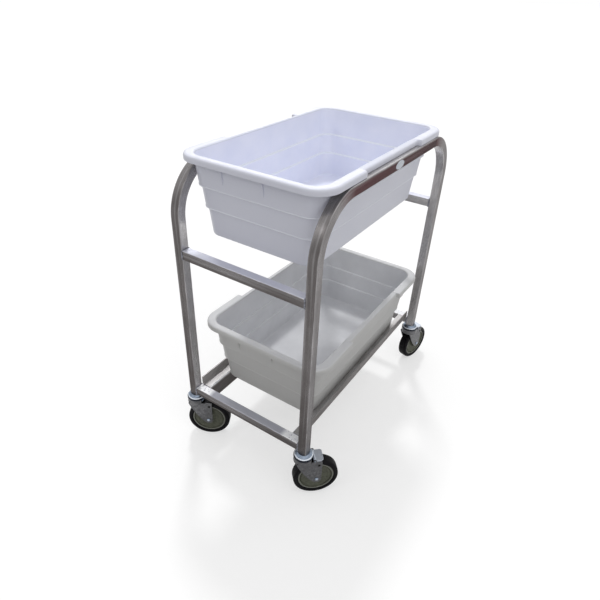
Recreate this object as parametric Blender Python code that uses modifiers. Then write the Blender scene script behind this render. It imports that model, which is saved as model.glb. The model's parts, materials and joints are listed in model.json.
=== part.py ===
"""Tub rack cart: a welded frame of square aluminium tube on four swivel casters, with two plastic tubs.

Metres, +Z up, the floor at z = 0 and the origin under the middle of the cart's overall box. X runs across
the cart, from the left side loop to the right one. Y runs along it, from its near end to its far end.
"""

import math

import bmesh
import bpy
from mathutils import Vector

MM = 0.001

# Shared by the whole cart
SEAT_GAP = 0.3 * MM  # between two pieces that touch
QUARTER_TURN = math.pi / 2
TUBE_SMOOTHING = math.radians(30)  # the sharpest edge that is shaded smooth
TUB_SMOOTHING = math.radians(40)
RUNNER_SMOOTHING = math.radians(50)

# Square tube
TUBE_SIDE = 25.4 * MM
TUBE_WALL = 2.0 * MM
TUBE_CORNER = 2.5 * MM
TUBE_CORNER_STEPS = 2

# Frame: two bent side loops, joined at each end by a middle and a low cross rail
FRAME_WIDTH = 409.0 * MM
FRAME_LENGTH = 736.0 * MM
LOOP_RISE = 698.8 * MM  # from the open ends of the legs to the top of the loop
BEND_RADIUS = 127.0 * MM  # to the middle of the tube
BEND_STEPS = 10
MID_RAIL_DROP = 216.7 * MM  # from the top of the loops to the top of the middle rails
LOW_RAIL_RISE = 5.5 * MM  # from the open ends of the legs to the underside of the low rails

# Runners: one bent strip along each side, an upstand, a shelf and a skirt
RUNNER_THICKNESS = 3.2 * MM
RUNNER_SIDE_ROOM = 2.1 * MM  # between the upstand and the leg's inner face
RUNNER_SHELF_WIDTH = 32.0 * MM
RUNNER_UPSTAND = 25.4 * MM  # above the shelf
RUNNER_SKIRT = 50.8 * MM  # below the shelf's top
RUNNER_SHELF_RISE = 1.4 * MM  # of the shelf's top above the low rails
RUNNER_BEND = 2.4 * MM  # to the middle of the strip
RUNNER_BEND_STEPS = 2

# Tubs: a drafted shell with two stepped ledges and a turned-down rim
TUB_HEIGHT = 200.0 * MM
TUB_WALL = 3.5 * MM
TUB_RIM_HEIGHT = 15.6 * MM
TUB_RIM_SIDE_ROOM = 3.0 * MM  # from the rim's edge to the loop's outer face
TUB_END_ROOM = 46.5 * MM  # from the rim's end to the end of the frame, shared by both ends
TUB_SIDE_CLEARANCE = 0.8 * MM  # from the wall to the top rail's inner face
TUB_END_LIP = 22.0 * MM  # from the rim's end to the inside of the end wall
TUB_TAPER = 26.0 * MM  # of each wall from rim to floor, with the ledges
TUB_LEDGE = 4.0 * MM
TUB_LEDGE_DROP_SHARES = (0.375, 0.645)
TUB_LEDGE_FALL = 2.5 * MM
TUB_EDGE_RADIUS = 4.0 * MM
TUB_FLOOR_RADIUS = 3.0 * MM
TUB_RIM_CORNER = 58.0 * MM
TUB_WALL_CORNER = 36.0 * MM
TUB_FLOOR_CORNER = 33.0 * MM
TUB_CORNER_STEPS = 4
TUB_EDGE_STEPS = 2
TUB_NOTCH_LENGTH = 300.0 * MM  # the middle of each long rim, which is set in
TUB_NOTCH_DEPTH = 11.0 * MM
TUB_NOTCH_SLOPE = 4.0 * MM
TUB_GRIP_DROP = 2.0 * MM  # of the rim's top over the notch
UPPER_TUB_SHIFT = -24.5 * MM  # along the cart, from its middle
LOWER_TUB_SHIFT = 10.0 * MM

# Blank oval plate on the right top rail
LABEL_LENGTH = 46.0 * MM
LABEL_HEIGHT = 20.0 * MM
LABEL_THICKNESS = 0.8 * MM
LABEL_SHIFT = -10.0 * MM
LABEL_STEPS = 20

# Wheels
WHEEL_RADIUS = 63.5 * MM
WHEEL_STEPS = 24  # a multiple of four, so that a flat of the tyre lies on the floor
TYRE_WIDTH = 31.75 * MM
CORE_RADIUS = 50.0 * MM
CORE_RIM_WIDTH = 25.0 * MM
CORE_RIM_DEPTH = 5.0 * MM
CORE_WEB = 14.0 * MM
CORE_BOSS_RADIUS = 14.0 * MM
TYRE_TREAD_SHARE = 0.56
TYRE_SHOULDER_SHARES = ((0.85, 0.13), (1.0, 0.45), (1.0, 0.86), (0.9, 1.0))

# Axles
AXLE_RADIUS = 4.8 * MM
AXLE_HEAD_RADIUS = 8.5 * MM
AXLE_HEAD = 3.6 * MM
AXLE_HEAD_EDGE = 1.4 * MM
AXLE_END = 1.5 * MM  # past the nut
AXLE_STEPS = 12
NUT_RADIUS = 8.6 * MM  # to its corners
NUT_SIDES = 6
NUT_HEIGHT = 6.0 * MM
BUSHING_WALL = 2.4 * MM

# Forks, in the swivel's own frame: x along the trail, z above the floor
TRAIL = 35.0 * MM
FORK_PLATE = 3.0 * MM
FORK_SIDE_GAP = 2.625 * MM  # from the tyre to the inside of each arm
CROWN_GAP = 3.0 * MM  # from the tyre's top to the crown
CROWN_FRONT = 27.0 * MM
CROWN_BACK = 19.5 * MM
CROWN_INSET = 1.0 * MM  # of the crown's sides and of the arms' tops
ARM_END_RADIUS = 13.0 * MM
ARM_END_STEPS = 6
ARM_HOLE_RADIUS = 3.0 * MM
ARM_HOLE_DROP = 13.5 * MM
ARM_HOLE_BACK = 4.5 * MM  # from the axle, along the trail

# Swivels, stacked on the crown up to the leg
SWIVEL_HEIGHT = 25.5 * MM  # from the crown's top to the end of the leg
SWIVEL_STEPS = 16
LOWER_RACE_RADIUS = 23.5 * MM
LOWER_RACE_HEIGHT = 5.5 * MM
LOWER_RACE_TOP_SHARE = 0.81
LOWER_RACE_SHOULDER_SHARES = (0.96, 0.7)
BEARING_RADIUS = 15.0 * MM
BALL_RADIUS = 2.5 * MM
BALL_STEPS = 6
UPPER_RACE_RADIUS = 27.5 * MM
UPPER_RACE_WALL = 2.5 * MM
UPPER_RACE_LIP = 4.4 * MM  # of the rim below the race's underside
UPPER_RACE_SHARES = ((0.69, 1.0), (0.86, 0.84), (0.97, 0.55), (1.0, 0.27), (1.0, 0.0))
STEM_RADIUS = 5.5 * MM
STEM_HEAD_RADIUS = 9.0 * MM
STEM_HEAD = 3.6 * MM
STEM_HEAD_EDGE = 1.2 * MM
STEM_CONE = 9.0 * MM
STEM_CONE_RADIUS = 8.6 * MM
STEM_STEPS = 12
EXPANDER_HEIGHT = 40.0 * MM
EXPANDER_RISE = 2.0 * MM  # above the end of the leg

# Brake pedals, on the casters that have one
PEDAL_PIN_BACK = 27.5 * MM  # from the swivel's axis
PEDAL_PIN_RISE = 3.0 * MM  # above the crown's top
PEDAL_PIN_RADIUS = 2.0 * MM
PEDAL_BARREL_WALL = 1.2 * MM
PEDAL_PLATE = 2.6 * MM
PEDAL_LENGTH = 24.5 * MM
PEDAL_SHOE = 1.6 * MM  # under the plate, where it meets the tyre
PEDAL_SHOE_START = 7.5 * MM  # from the pin
PEDAL_STEPS = 10
EAR_WALL = 2.2 * MM

# Casters: which corner, the direction of the trail at rest, and whether it has a brake
CASTERS = {
    "near_left": (-1, -1, math.radians(29.6), False),
    "near_right": (1, -1, math.radians(43.7), True),
    "far_right": (1, 1, math.radians(76.5), True),
    "far_left": (-1, 1, math.radians(136.3), False),
}

# Heights and places that follow
AXLE_Z = WHEEL_RADIUS * math.cos(math.pi / WHEEL_STEPS)
CROWN_BOTTOM = AXLE_Z + WHEEL_RADIUS + CROWN_GAP
CROWN_TOP = CROWN_BOTTOM + FORK_PLATE
LEG_BOTTOM = CROWN_TOP + SWIVEL_HEIGHT
LOOP_TOP = LEG_BOTTOM + LOOP_RISE
LEG_X = (FRAME_WIDTH - TUBE_SIDE) / 2
LEG_Y = (FRAME_LENGTH - TUBE_SIDE) / 2
LEG_INSIDE_X = LEG_X - TUBE_SIDE / 2
LEG_INSIDE_Y = LEG_Y - TUBE_SIDE / 2
LOW_RAIL_TOP = LEG_BOTTOM + LOW_RAIL_RISE + TUBE_SIDE
SHELF_TOP = LOW_RAIL_TOP + RUNNER_SHELF_RISE
TUB_RIM_X = FRAME_WIDTH / 2 - TUB_RIM_SIDE_ROOM
TUB_RIM_Y = FRAME_LENGTH / 2 - TUB_END_ROOM
TUB_INSIDE_X = LEG_INSIDE_X - TUB_SIDE_CLEARANCE - TUB_WALL
TUB_INSIDE_Y = TUB_RIM_Y - TUB_END_LIP
UPPER_TUB_BOTTOM = LOOP_TOP + SEAT_GAP + TUB_RIM_HEIGHT - TUB_HEIGHT
LOWER_TUB_BOTTOM = SHELF_TOP + SEAT_GAP
FORK_INSIDE = TYRE_WIDTH / 2 + FORK_SIDE_GAP
FORK_OUTSIDE = FORK_INSIDE + FORK_PLATE
BUSHING_BORE = AXLE_RADIUS + SEAT_GAP
BUSHING_RADIUS = BUSHING_BORE + BUSHING_WALL
SWIVEL_BORE = STEM_RADIUS + SEAT_GAP
PIN_BORE = PEDAL_PIN_RADIUS + SEAT_GAP
BARREL_RADIUS = PIN_BORE + PEDAL_BARREL_WALL
PEDAL_PIN_Z = CROWN_TOP + PEDAL_PIN_RISE

# Finishes: base colour, roughness, metallic
FINISHES = {
    "satin_aluminium": ((0.60, 0.59, 0.59), 0.38, 1.0),
    "white_polyethylene": ((0.86, 0.87, 0.95), 0.45, 0.0),
    "grey_polyethylene": ((0.66, 0.67, 0.67), 0.5, 0.0),
    "blank_label": ((0.80, 0.84, 0.88), 0.4, 0.0),
    "zinc_plate": ((0.62, 0.64, 0.66), 0.32, 1.0),
    "black_rubber": ((0.03, 0.03, 0.035), 0.7, 0.0),
    "olive_nylon": ((0.13, 0.13, 0.10), 0.5, 0.0),
}


def clear_scene():
    """Takes away whatever the file opened with."""
    for obj in list(bpy.data.objects):
        bpy.data.objects.remove(obj, do_unlink=True)


def make_finish(name):
    """A Principled material of one of the finishes."""
    colour, roughness, metallic = FINISHES[name]
    material = bpy.data.materials.new(name)
    material.use_nodes = True
    shader = material.node_tree.nodes["Principled BSDF"]
    shader.inputs["Base Color"].default_value = (*colour, 1.0)
    shader.inputs["Roughness"].default_value = roughness
    shader.inputs["Metallic"].default_value = metallic
    material.diffuse_color = (*colour, 1.0)
    return material


def place(name, data, finish, parent, location=(0, 0, 0), rotation=(0, 0, 0)):
    """An object of the cart, in its collection, with its finish."""
    obj = bpy.data.objects.new(name, data)
    obj.parent = parent
    obj.location = location
    obj.rotation_euler = rotation
    if not data.materials:
        data.materials.append(finishes[finish])
    cart.objects.link(obj)
    return obj


def make_empty(name, parent=None, location=(0, 0, 0), turn=0):
    """An empty that carries other objects, on a joint's axis or at the cart's own origin."""
    empty = bpy.data.objects.new(name, None)
    empty.parent = parent
    empty.location = location
    empty.rotation_euler = (0, 0, turn)
    cart.objects.link(empty)
    return empty


def arc(centre, radius, start, end, steps):
    """Points along an arc, both ends included."""
    angles = [start + (end - start) * step / steps for step in range(steps + 1)]
    return [(centre[0] + radius * math.cos(a), centre[1] + radius * math.sin(a)) for a in angles]


def circle(centre, radius, steps):
    """Points round a circle."""
    return arc(centre, radius, 0, 2 * math.pi, steps)[:-1]


def rounded_rectangle(half_x, half_y, radius, steps):
    """Points round a rectangle with round corners, anticlockwise from its right side."""
    points = []
    for quarter, (x, y) in enumerate(((1, 1), (-1, 1), (-1, -1), (1, -1))):
        centre = (x * (half_x - radius), y * (half_y - radius))
        points += arc(centre, radius, quarter * QUARTER_TURN, (quarter + 1) * QUARTER_TURN, steps)
    return points


def mesh_of(bm, name):
    """The mesh that a finished bmesh holds, with its faces pointing out."""
    bmesh.ops.recalc_face_normals(bm, faces=bm.faces)
    mesh = bpy.data.meshes.new(name)
    bm.to_mesh(mesh)
    bm.free()
    return mesh


def smooth(mesh, angle):
    """Shades a mesh smooth except where its faces meet more sharply than the angle."""
    mesh.shade_smooth()
    mesh.set_sharp_from_angle(angle=angle)


def closed_edges(bm, points):
    """New edges through the points and back to the first."""
    verts = [bm.verts.new(point) for point in points]
    return [bm.edges.new((a, b)) for a, b in zip(verts, verts[1:] + verts[:1])]


def run_on(bm, edges, move):
    """Carries the open end of a tube along a straight run and returns the edges of its new end."""
    made = bmesh.ops.extrude_edge_only(bm, edges=edges)["geom"]
    ends = {part for part in made if isinstance(part, bmesh.types.BMVert)}
    bmesh.ops.translate(bm, vec=move, verts=list(ends))
    return [edge for edge in bm.edges if edge.verts[0] in ends and edge.verts[1] in ends]


def bend_on(bm, edges, centre):
    """Carries the open end of a tube through a quarter turn from +Z to +Y, or from +Y to -Z."""
    made = bmesh.ops.spin(bm, geom=edges, cent=centre, axis=(-1, 0, 0), angle=QUARTER_TURN,
                          steps=BEND_STEPS, use_duplicate=False)["geom_last"]
    ends = {part for part in made if isinstance(part, bmesh.types.BMVert)}
    return [edge for edge in bm.edges if edge.verts[0] in ends and edge.verts[1] in ends]


def add_wall(obj, thickness, offset):
    """Gives an open surface its thickness: inwards at -1, on both sides at 0."""
    wall = obj.modifiers.new("wall", "SOLIDIFY")
    wall.thickness = thickness
    wall.offset = offset
    wall.use_even_offset = True


def tube_section():
    return rounded_rectangle(TUBE_SIDE / 2, TUBE_SIDE / 2, TUBE_CORNER, TUBE_CORNER_STEPS)


def side_loop(name, x):
    """One side of the frame: two legs and a top rail, bent from a single open-ended tube."""
    bm = bmesh.new()
    leg = LOOP_RISE - TUBE_SIDE / 2 - BEND_RADIUS
    bend_y = LEG_Y - BEND_RADIUS
    bend_z = LEG_BOTTOM + leg
    edges = closed_edges(bm, [(u, v - LEG_Y, LEG_BOTTOM) for u, v in tube_section()])
    edges = run_on(bm, edges, (0, 0, leg))
    edges = bend_on(bm, edges, (0, -bend_y, bend_z))
    edges = run_on(bm, edges, (0, 2 * bend_y, 0))
    edges = bend_on(bm, edges, (0, bend_y, bend_z))
    run_on(bm, edges, (0, 0, -leg))
    loop = place(name, mesh_of(bm, name), "satin_aluminium", root, (x, 0, 0))
    smooth(loop.data, TUBE_SMOOTHING)
    add_wall(loop, TUBE_WALL, -1)


def cross_rail(name, y, top):
    """A straight open-ended tube between the legs of the two loops."""
    bm = bmesh.new()
    length = 2 * (LEG_INSIDE_X - SEAT_GAP)
    edges = closed_edges(bm, [(-length / 2, u, v) for u, v in tube_section()])
    run_on(bm, edges, (length, 0, 0))
    rail = place(name, mesh_of(bm, name), "satin_aluminium", root, (0, y, top - TUBE_SIDE / 2))
    smooth(rail.data, TUBE_SMOOTHING)
    add_wall(rail, TUBE_WALL, -1)


def runner(name, side):
    """A bent strip between the low rails: its shelf carries the lower tub and its upstand keeps it in."""
    half = RUNNER_THICKNESS / 2
    outer = LEG_INSIDE_X - RUNNER_SIDE_ROOM - half
    inner = LEG_INSIDE_X - RUNNER_SIDE_ROOM - RUNNER_SHELF_WIDTH + half
    shelf = SHELF_TOP - half
    bend = RUNNER_BEND
    section = [(outer, SHELF_TOP + RUNNER_UPSTAND)]
    section += arc((outer - bend, shelf + bend), bend, 0, -QUARTER_TURN, RUNNER_BEND_STEPS)
    section += arc((inner + bend, shelf - bend), bend, QUARTER_TURN, 2 * QUARTER_TURN, RUNNER_BEND_STEPS)
    section += [(inner, SHELF_TOP - RUNNER_SKIRT)]
    length = 2 * (LEG_INSIDE_Y - SEAT_GAP)
    bm = bmesh.new()
    verts = [bm.verts.new((side * x, -length / 2, z)) for x, z in section]
    edges = [bm.edges.new(pair) for pair in zip(verts, verts[1:])]
    run_on(bm, edges, (0, length, 0))
    strip = place(name, mesh_of(bm, name), "satin_aluminium", root)
    smooth(strip.data, RUNNER_SMOOTHING)
    add_wall(strip, RUNNER_THICKNESS, 0)


def tub_inset(drop):
    """How far a tub's wall stands in from its top, at a drop below the rim."""
    ledges = [share * TUB_HEIGHT for share in TUB_LEDGE_DROP_SHARES]
    draft = TUB_TAPER - TUB_LEDGE * len(ledges)
    stepped = sum(min(max((drop - ledge) / TUB_LEDGE_FALL, 0), 1) for ledge in ledges)
    return draft * drop / TUB_HEIGHT + TUB_LEDGE * stepped


def tub_levels():
    """The rings of a tub's upper and inner surface, from the rim's edge to the floor.

    Each is its drop below the rim's top, its half size across and along, its corner radius, and whether the
    notch in the long rims reaches it.
    """
    edge = TUB_EDGE_RADIUS
    levels = [(TUB_RIM_HEIGHT, TUB_RIM_X, TUB_RIM_Y, TUB_RIM_CORNER, True)]
    for out, down in arc((0, 0), edge, 0, QUARTER_TURN, TUB_EDGE_STEPS):
        inset = edge - out
        levels.append((edge - down, TUB_RIM_X - inset, TUB_RIM_Y - inset, TUB_RIM_CORNER - inset, True))
    half_x, half_y, corner = TUB_INSIDE_X, TUB_INSIDE_Y, TUB_WALL_CORNER
    for out, down in arc((0, 0), edge, QUARTER_TURN, 0, TUB_EDGE_STEPS):
        inset = out - edge
        levels.append((edge - down, half_x - inset, half_y - inset, corner - inset, False))
    floor = TUB_HEIGHT - TUB_WALL
    drops = []
    for share in TUB_LEDGE_DROP_SHARES:
        drops += [share * TUB_HEIGHT, share * TUB_HEIGHT + TUB_LEDGE_FALL]
    drops.append(floor - TUB_FLOOR_RADIUS)
    for drop in drops:
        inset = tub_inset(drop)
        corner = TUB_WALL_CORNER + (TUB_FLOOR_CORNER - TUB_WALL_CORNER) * drop / floor
        levels.append((drop, TUB_INSIDE_X - inset, TUB_INSIDE_Y - inset, corner, False))
    half_x, half_y, corner = levels[-1][1:4]
    edge = TUB_FLOOR_RADIUS
    for inward, down in arc((0, 0), edge, 0, QUARTER_TURN, TUB_EDGE_STEPS)[1:]:
        inset = edge - inward
        levels.append((floor - edge + down, half_x - inset, half_y - inset, corner - inset, False))
    return levels


def tub_ring(level):
    """The points of one ring, with a pair of extra points on each long side where the notch starts."""
    drop, half_x, half_y, corner, notched = level
    ends = (TUB_NOTCH_LENGTH / 2 + TUB_NOTCH_SLOPE, TUB_NOTCH_LENGTH / 2)
    points = []
    for quarter, (x, y) in enumerate(((1, 1), (-1, 1), (-1, -1), (1, -1))):
        centre = (x * (half_x - corner), y * (half_y - corner))
        start = quarter * QUARTER_TURN
        bend = arc(centre, corner, start, start + QUARTER_TURN, TUB_CORNER_STEPS)
        bend = [(px, py, -drop) for px, py in bend]
        inset = TUB_NOTCH_DEPTH if notched else 0
        fall = TUB_GRIP_DROP if notched and drop < TUB_RIM_HEIGHT else 0
        side = [(x * half_x, y * ends[0], -drop), (x * (half_x - inset), y * ends[1], -drop - fall)]
        points += side[::-1] + bend if x == y else bend + side
    return points


def make_tub(name, shift, bottom, finish):
    """A moulded tub, lofted ring by ring and then given its wall."""
    bm = bmesh.new()
    rings = [[bm.verts.new(point) for point in tub_ring(level)] for level in tub_levels()]
    for outer, inner in zip(rings, rings[1:]):
        for i in range(len(outer)):
            bm.faces.new((outer[i - 1], outer[i], inner[i], inner[i - 1]))
    bm.faces.new(rings[-1])
    bmesh.ops.recalc_face_normals(bm, faces=bm.faces)
    floor = max(bm.faces, key=lambda face: len(face.verts))
    if floor.normal.z < 0:
        bmesh.ops.reverse_faces(bm, faces=bm.faces)
    mesh = bpy.data.meshes.new(name)
    bm.to_mesh(mesh)
    bm.free()
    tub = place(name, mesh, finish, root, (0, shift, bottom + TUB_HEIGHT))
    smooth(tub.data, TUB_SMOOTHING)
    add_wall(tub, TUB_WALL, -1)


def flat_piece(name, outlines, thickness):
    """A flat piece cut to its outlines, the first its edge and the others its holes, as a curve."""
    curve = bpy.data.curves.new(name, "CURVE")
    curve.dimensions = "2D"
    curve.fill_mode = "BOTH"
    curve.extrude = thickness / 2
    for points in outlines:
        spline = curve.splines.new("POLY")
        spline.points.add(len(points) - 1)
        for point, (x, y) in zip(spline.points, points):
            point.co = (x, y, 0, 1)
        spline.use_cyclic_u = True
    return curve


def turned_mesh(name, profile, steps, closed):
    """A turned piece: its profile at +X, down the outer side, carried round Z by a Screw modifier.

    The profile starts half a step round, so that a flat and not a corner of the finished piece faces each
    axis.
    """
    bm = bmesh.new()
    half_step = math.pi / steps
    verts = [bm.verts.new((r * math.cos(half_step), r * math.sin(half_step), z)) for r, z in profile]
    for pair in zip(verts, verts[1:] + verts[:1] if closed else verts[1:]):
        bm.edges.new(pair)
    mesh = bpy.data.meshes.new(name)
    bm.to_mesh(mesh)
    bm.free()
    return mesh


def turned(name, profile, steps, finish, parent, location=(0, 0, 0), rotation=(0, 0, 0), closed=False):
    """Places a turned piece."""
    obj = place(name, turned_mesh(name, profile, steps, closed), finish, parent, location, rotation)
    screw = obj.modifiers.new("turn", "SCREW")
    screw.steps = steps
    screw.render_steps = steps
    screw.use_merge_vertices = True
    screw.merge_threshold = 0.01 * MM
    screw.use_smooth_shade = True
    return obj


def union(name, pieces):
    """One mesh of several flat pieces, each a curve with its location and rotation."""
    tools = []
    for index, (curve, location, rotation) in enumerate(pieces):
        obj = bpy.data.objects.new(f"{name}_{index}", curve)
        obj.location = location
        obj.rotation_euler = rotation
        cart.objects.link(obj)
        bpy.context.view_layer.update()
        mesh = bpy.data.meshes.new_from_object(obj.evaluated_get(bpy.context.evaluated_depsgraph_get()))
        mesh.transform(obj.matrix_world)
        bm = bmesh.new()
        bm.from_mesh(mesh)
        bmesh.ops.remove_doubles(bm, verts=bm.verts, dist=0.001 * MM)
        bm.to_mesh(mesh)
        bm.free()
        bpy.data.objects.remove(obj, do_unlink=True)
        tool = bpy.data.objects.new(f"{name}_part_{index}", mesh)
        cart.objects.link(tool)
        tools.append(tool)
    whole = tools[0]
    for tool in tools[1:]:
        join = whole.modifiers.new("join", "BOOLEAN")
        join.operation = "UNION"
        join.solver = "EXACT"
        join.object = tool
    bpy.context.view_layer.update()
    mesh = bpy.data.meshes.new_from_object(whole.evaluated_get(bpy.context.evaluated_depsgraph_get()))
    mesh.name = name
    for tool in tools:
        bpy.data.objects.remove(tool, do_unlink=True)
    return mesh


def arm_outline(braked):
    """An arm of the fork, seen from its side.

    Its x runs along the trail from the swivel's axis and its y up from the floor.
    """
    top = CROWN_TOP - CROWN_INSET
    axle = Vector((TRAIL, AXLE_Z))
    shoulder = Vector((-CROWN_FRONT, CROWN_BOTTOM - FORK_PLATE))
    reach = shoulder - axle
    lean = math.atan2(reach.y, reach.x) + math.acos(ARM_END_RADIUS / reach.length)
    points = arc(axle, ARM_END_RADIUS, lean, 2 * math.pi, ARM_END_STEPS)
    back = TRAIL + ARM_END_RADIUS
    points.append((back, top))
    if braked:
        ear = PIN_BORE + EAR_WALL
        points.append((PEDAL_PIN_BACK + ear, top))
        points += arc((PEDAL_PIN_BACK, PEDAL_PIN_Z), ear, 0, math.pi, PEDAL_STEPS // 2)
        points.append((PEDAL_PIN_BACK - ear, top))
    points += [(-CROWN_FRONT, top), tuple(shoulder)]
    return points


def fork_mesh(name, braked):
    """Two arms and the crown between them, which the stem passes through."""
    holes = [circle((TRAIL, AXLE_Z), BUSHING_BORE, AXLE_STEPS)]
    hole = (TRAIL + ARM_HOLE_BACK, CROWN_TOP - ARM_HOLE_DROP)
    holes.append(circle(hole, ARM_HOLE_RADIUS, PEDAL_STEPS))
    if braked:
        holes.append(circle((PEDAL_PIN_BACK, PEDAL_PIN_Z), PIN_BORE, PEDAL_STEPS))
    half_width = FORK_OUTSIDE - CROWN_INSET
    crown = [(-CROWN_FRONT, -half_width), (CROWN_BACK, -half_width), (CROWN_BACK, half_width),
             (-CROWN_FRONT, half_width)]
    crown_z = CROWN_BOTTOM + FORK_PLATE / 2
    arm_y = FORK_INSIDE + FORK_PLATE / 2
    pieces = [(flat_piece(f"{name}_crown", [crown, circle((0, 0), SWIVEL_BORE, STEM_STEPS)], FORK_PLATE),
               (0, 0, crown_z), (0, 0, 0))]
    for side in (-1, 1):
        arm = flat_piece(f"{name}_arm", [arm_outline(braked), *holes], FORK_PLATE)
        pieces.append((arm, (0, side * arm_y, 0), (QUARTER_TURN, 0, 0)))
    mesh = union(name, pieces)
    mesh.materials.clear()
    return mesh


def wheel(corner, axle):
    """The core and its tyre, turned about the axle."""
    on_axle = {"parent": axle, "rotation": (QUARTER_TURN, 0, 0), "closed": True}
    bore = BUSHING_RADIUS + SEAT_GAP
    boss = FORK_INSIDE - 2 * SEAT_GAP
    web, rim = CORE_WEB / 2, CORE_RIM_WIDTH / 2
    rim_radius = CORE_RADIUS - CORE_RIM_DEPTH
    side = [(CORE_RADIUS, rim), (rim_radius, rim), (rim_radius, web), (CORE_BOSS_RADIUS, web),
            (CORE_BOSS_RADIUS, boss), (bore, boss)]
    profile = [(r, -z) for r, z in side] + side[::-1]
    turned(f"wheel_core_{corner}", profile, WHEEL_STEPS, "olive_nylon", **on_axle)
    depth = WHEEL_RADIUS - CORE_RADIUS - SEAT_GAP
    half = TYRE_WIDTH / 2
    side = [(WHEEL_RADIUS, half * TYRE_TREAD_SHARE)]
    side += [(WHEEL_RADIUS - depth * down, half * out) for out, down in TYRE_SHOULDER_SHARES]
    profile = [(r, -z) for r, z in side] + side[::-1]
    turned(f"tyre_{corner}", profile, WHEEL_STEPS, "black_rubber", **on_axle)


def axle_set(corner, axle):
    """The bolt, its nut and the spacer bushing that the wheel turns on, all held by the fork."""
    along = (QUARTER_TURN, 0, 0)
    head = FORK_OUTSIDE + SEAT_GAP
    nut_end = FORK_OUTSIDE + SEAT_GAP + NUT_HEIGHT
    profile = [(0, head + AXLE_HEAD), (AXLE_HEAD_RADIUS - AXLE_HEAD_EDGE, head + AXLE_HEAD),
               (AXLE_HEAD_RADIUS, head + AXLE_HEAD - AXLE_HEAD_EDGE), (AXLE_HEAD_RADIUS, head),
               (AXLE_RADIUS, head), (AXLE_RADIUS, -nut_end - AXLE_END), (0, -nut_end - AXLE_END)]
    turned(f"axle_bolt_{corner}", profile, AXLE_STEPS, "zinc_plate", axle, rotation=along)
    rings = [circle((0, 0), NUT_RADIUS, NUT_SIDES), circle((0, 0), BUSHING_BORE, AXLE_STEPS)]
    nut = flat_piece(f"axle_nut_{corner}", rings, NUT_HEIGHT)
    place(f"axle_nut_{corner}", nut, "zinc_plate", axle, (0, nut_end - NUT_HEIGHT / 2, 0), along)
    half = FORK_INSIDE - SEAT_GAP
    profile = [(BUSHING_RADIUS, half), (BUSHING_RADIUS, -half), (BUSHING_BORE, -half), (BUSHING_BORE, half)]
    turned(f"hub_bushing_{corner}", profile, AXLE_STEPS, "zinc_plate", axle, rotation=along, closed=True)


def swivel_set(corner, fixed, swivel):
    """The stem and the two races, one fixed to the leg and one on the fork, with the balls between."""
    base = CROWN_TOP + SEAT_GAP
    top = base + LOWER_RACE_HEIGHT
    flat = LOWER_RACE_RADIUS * LOWER_RACE_TOP_SHARE
    shoulder = (LOWER_RACE_RADIUS * LOWER_RACE_SHOULDER_SHARES[0],
                base + LOWER_RACE_HEIGHT * LOWER_RACE_SHOULDER_SHARES[1])
    profile = [(flat, top), shoulder, (LOWER_RACE_RADIUS, base), (SWIVEL_BORE, base), (SWIVEL_BORE, top)]
    turned(f"lower_raceway_{corner}", profile, SWIVEL_STEPS, "zinc_plate", swivel, closed=True)

    ball_z = top + SEAT_GAP + BALL_RADIUS
    profile = circle((BEARING_RADIUS, ball_z), BALL_RADIUS, BALL_STEPS)[::-1]
    turned(f"bearing_ring_{corner}", profile, SWIVEL_STEPS, "zinc_plate", swivel, closed=True)

    ceiling = ball_z + BALL_RADIUS + SEAT_GAP
    race_top = LEG_BOTTOM - SEAT_GAP
    rim = ceiling - UPPER_RACE_LIP
    profile = [(UPPER_RACE_RADIUS * out, rim + (race_top - rim) * up) for out, up in UPPER_RACE_SHARES]
    inside = UPPER_RACE_RADIUS - UPPER_RACE_WALL
    profile += [(inside, rim), (inside, ceiling), (SWIVEL_BORE, ceiling), (SWIVEL_BORE, race_top)]
    turned(f"upper_raceway_{corner}", profile, SWIVEL_STEPS, "zinc_plate", fixed, closed=True)

    expander_base = LEG_BOTTOM + EXPANDER_RISE
    expander_top = expander_base + EXPANDER_HEIGHT
    cone = expander_top + SEAT_GAP
    head = CROWN_BOTTOM - SEAT_GAP
    profile = [(0, cone + STEM_CONE), (STEM_CONE_RADIUS, cone + STEM_CONE), (STEM_RADIUS, cone),
               (STEM_RADIUS, head), (STEM_HEAD_RADIUS, head), (STEM_HEAD_RADIUS, head - STEM_HEAD_EDGE),
               (STEM_HEAD_RADIUS - STEM_HEAD_EDGE, head - STEM_HEAD), (0, head - STEM_HEAD)]
    turned(f"stem_{corner}", profile, STEM_STEPS, "zinc_plate", fixed)
    half = TUBE_SIDE / 2 - TUBE_WALL - SEAT_GAP
    corner_radius = TUBE_CORNER - SEAT_GAP
    outline = rounded_rectangle(half, half, corner_radius, TUBE_CORNER_STEPS)
    bore = circle((0, 0), SWIVEL_BORE, STEM_STEPS)
    sleeve = flat_piece(f"expander_{corner}", [outline, bore], EXPANDER_HEIGHT)
    middle = (expander_base + expander_top) / 2
    place(f"expander_{corner}", sleeve, "black_rubber", fixed, (0, 0, middle))


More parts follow.
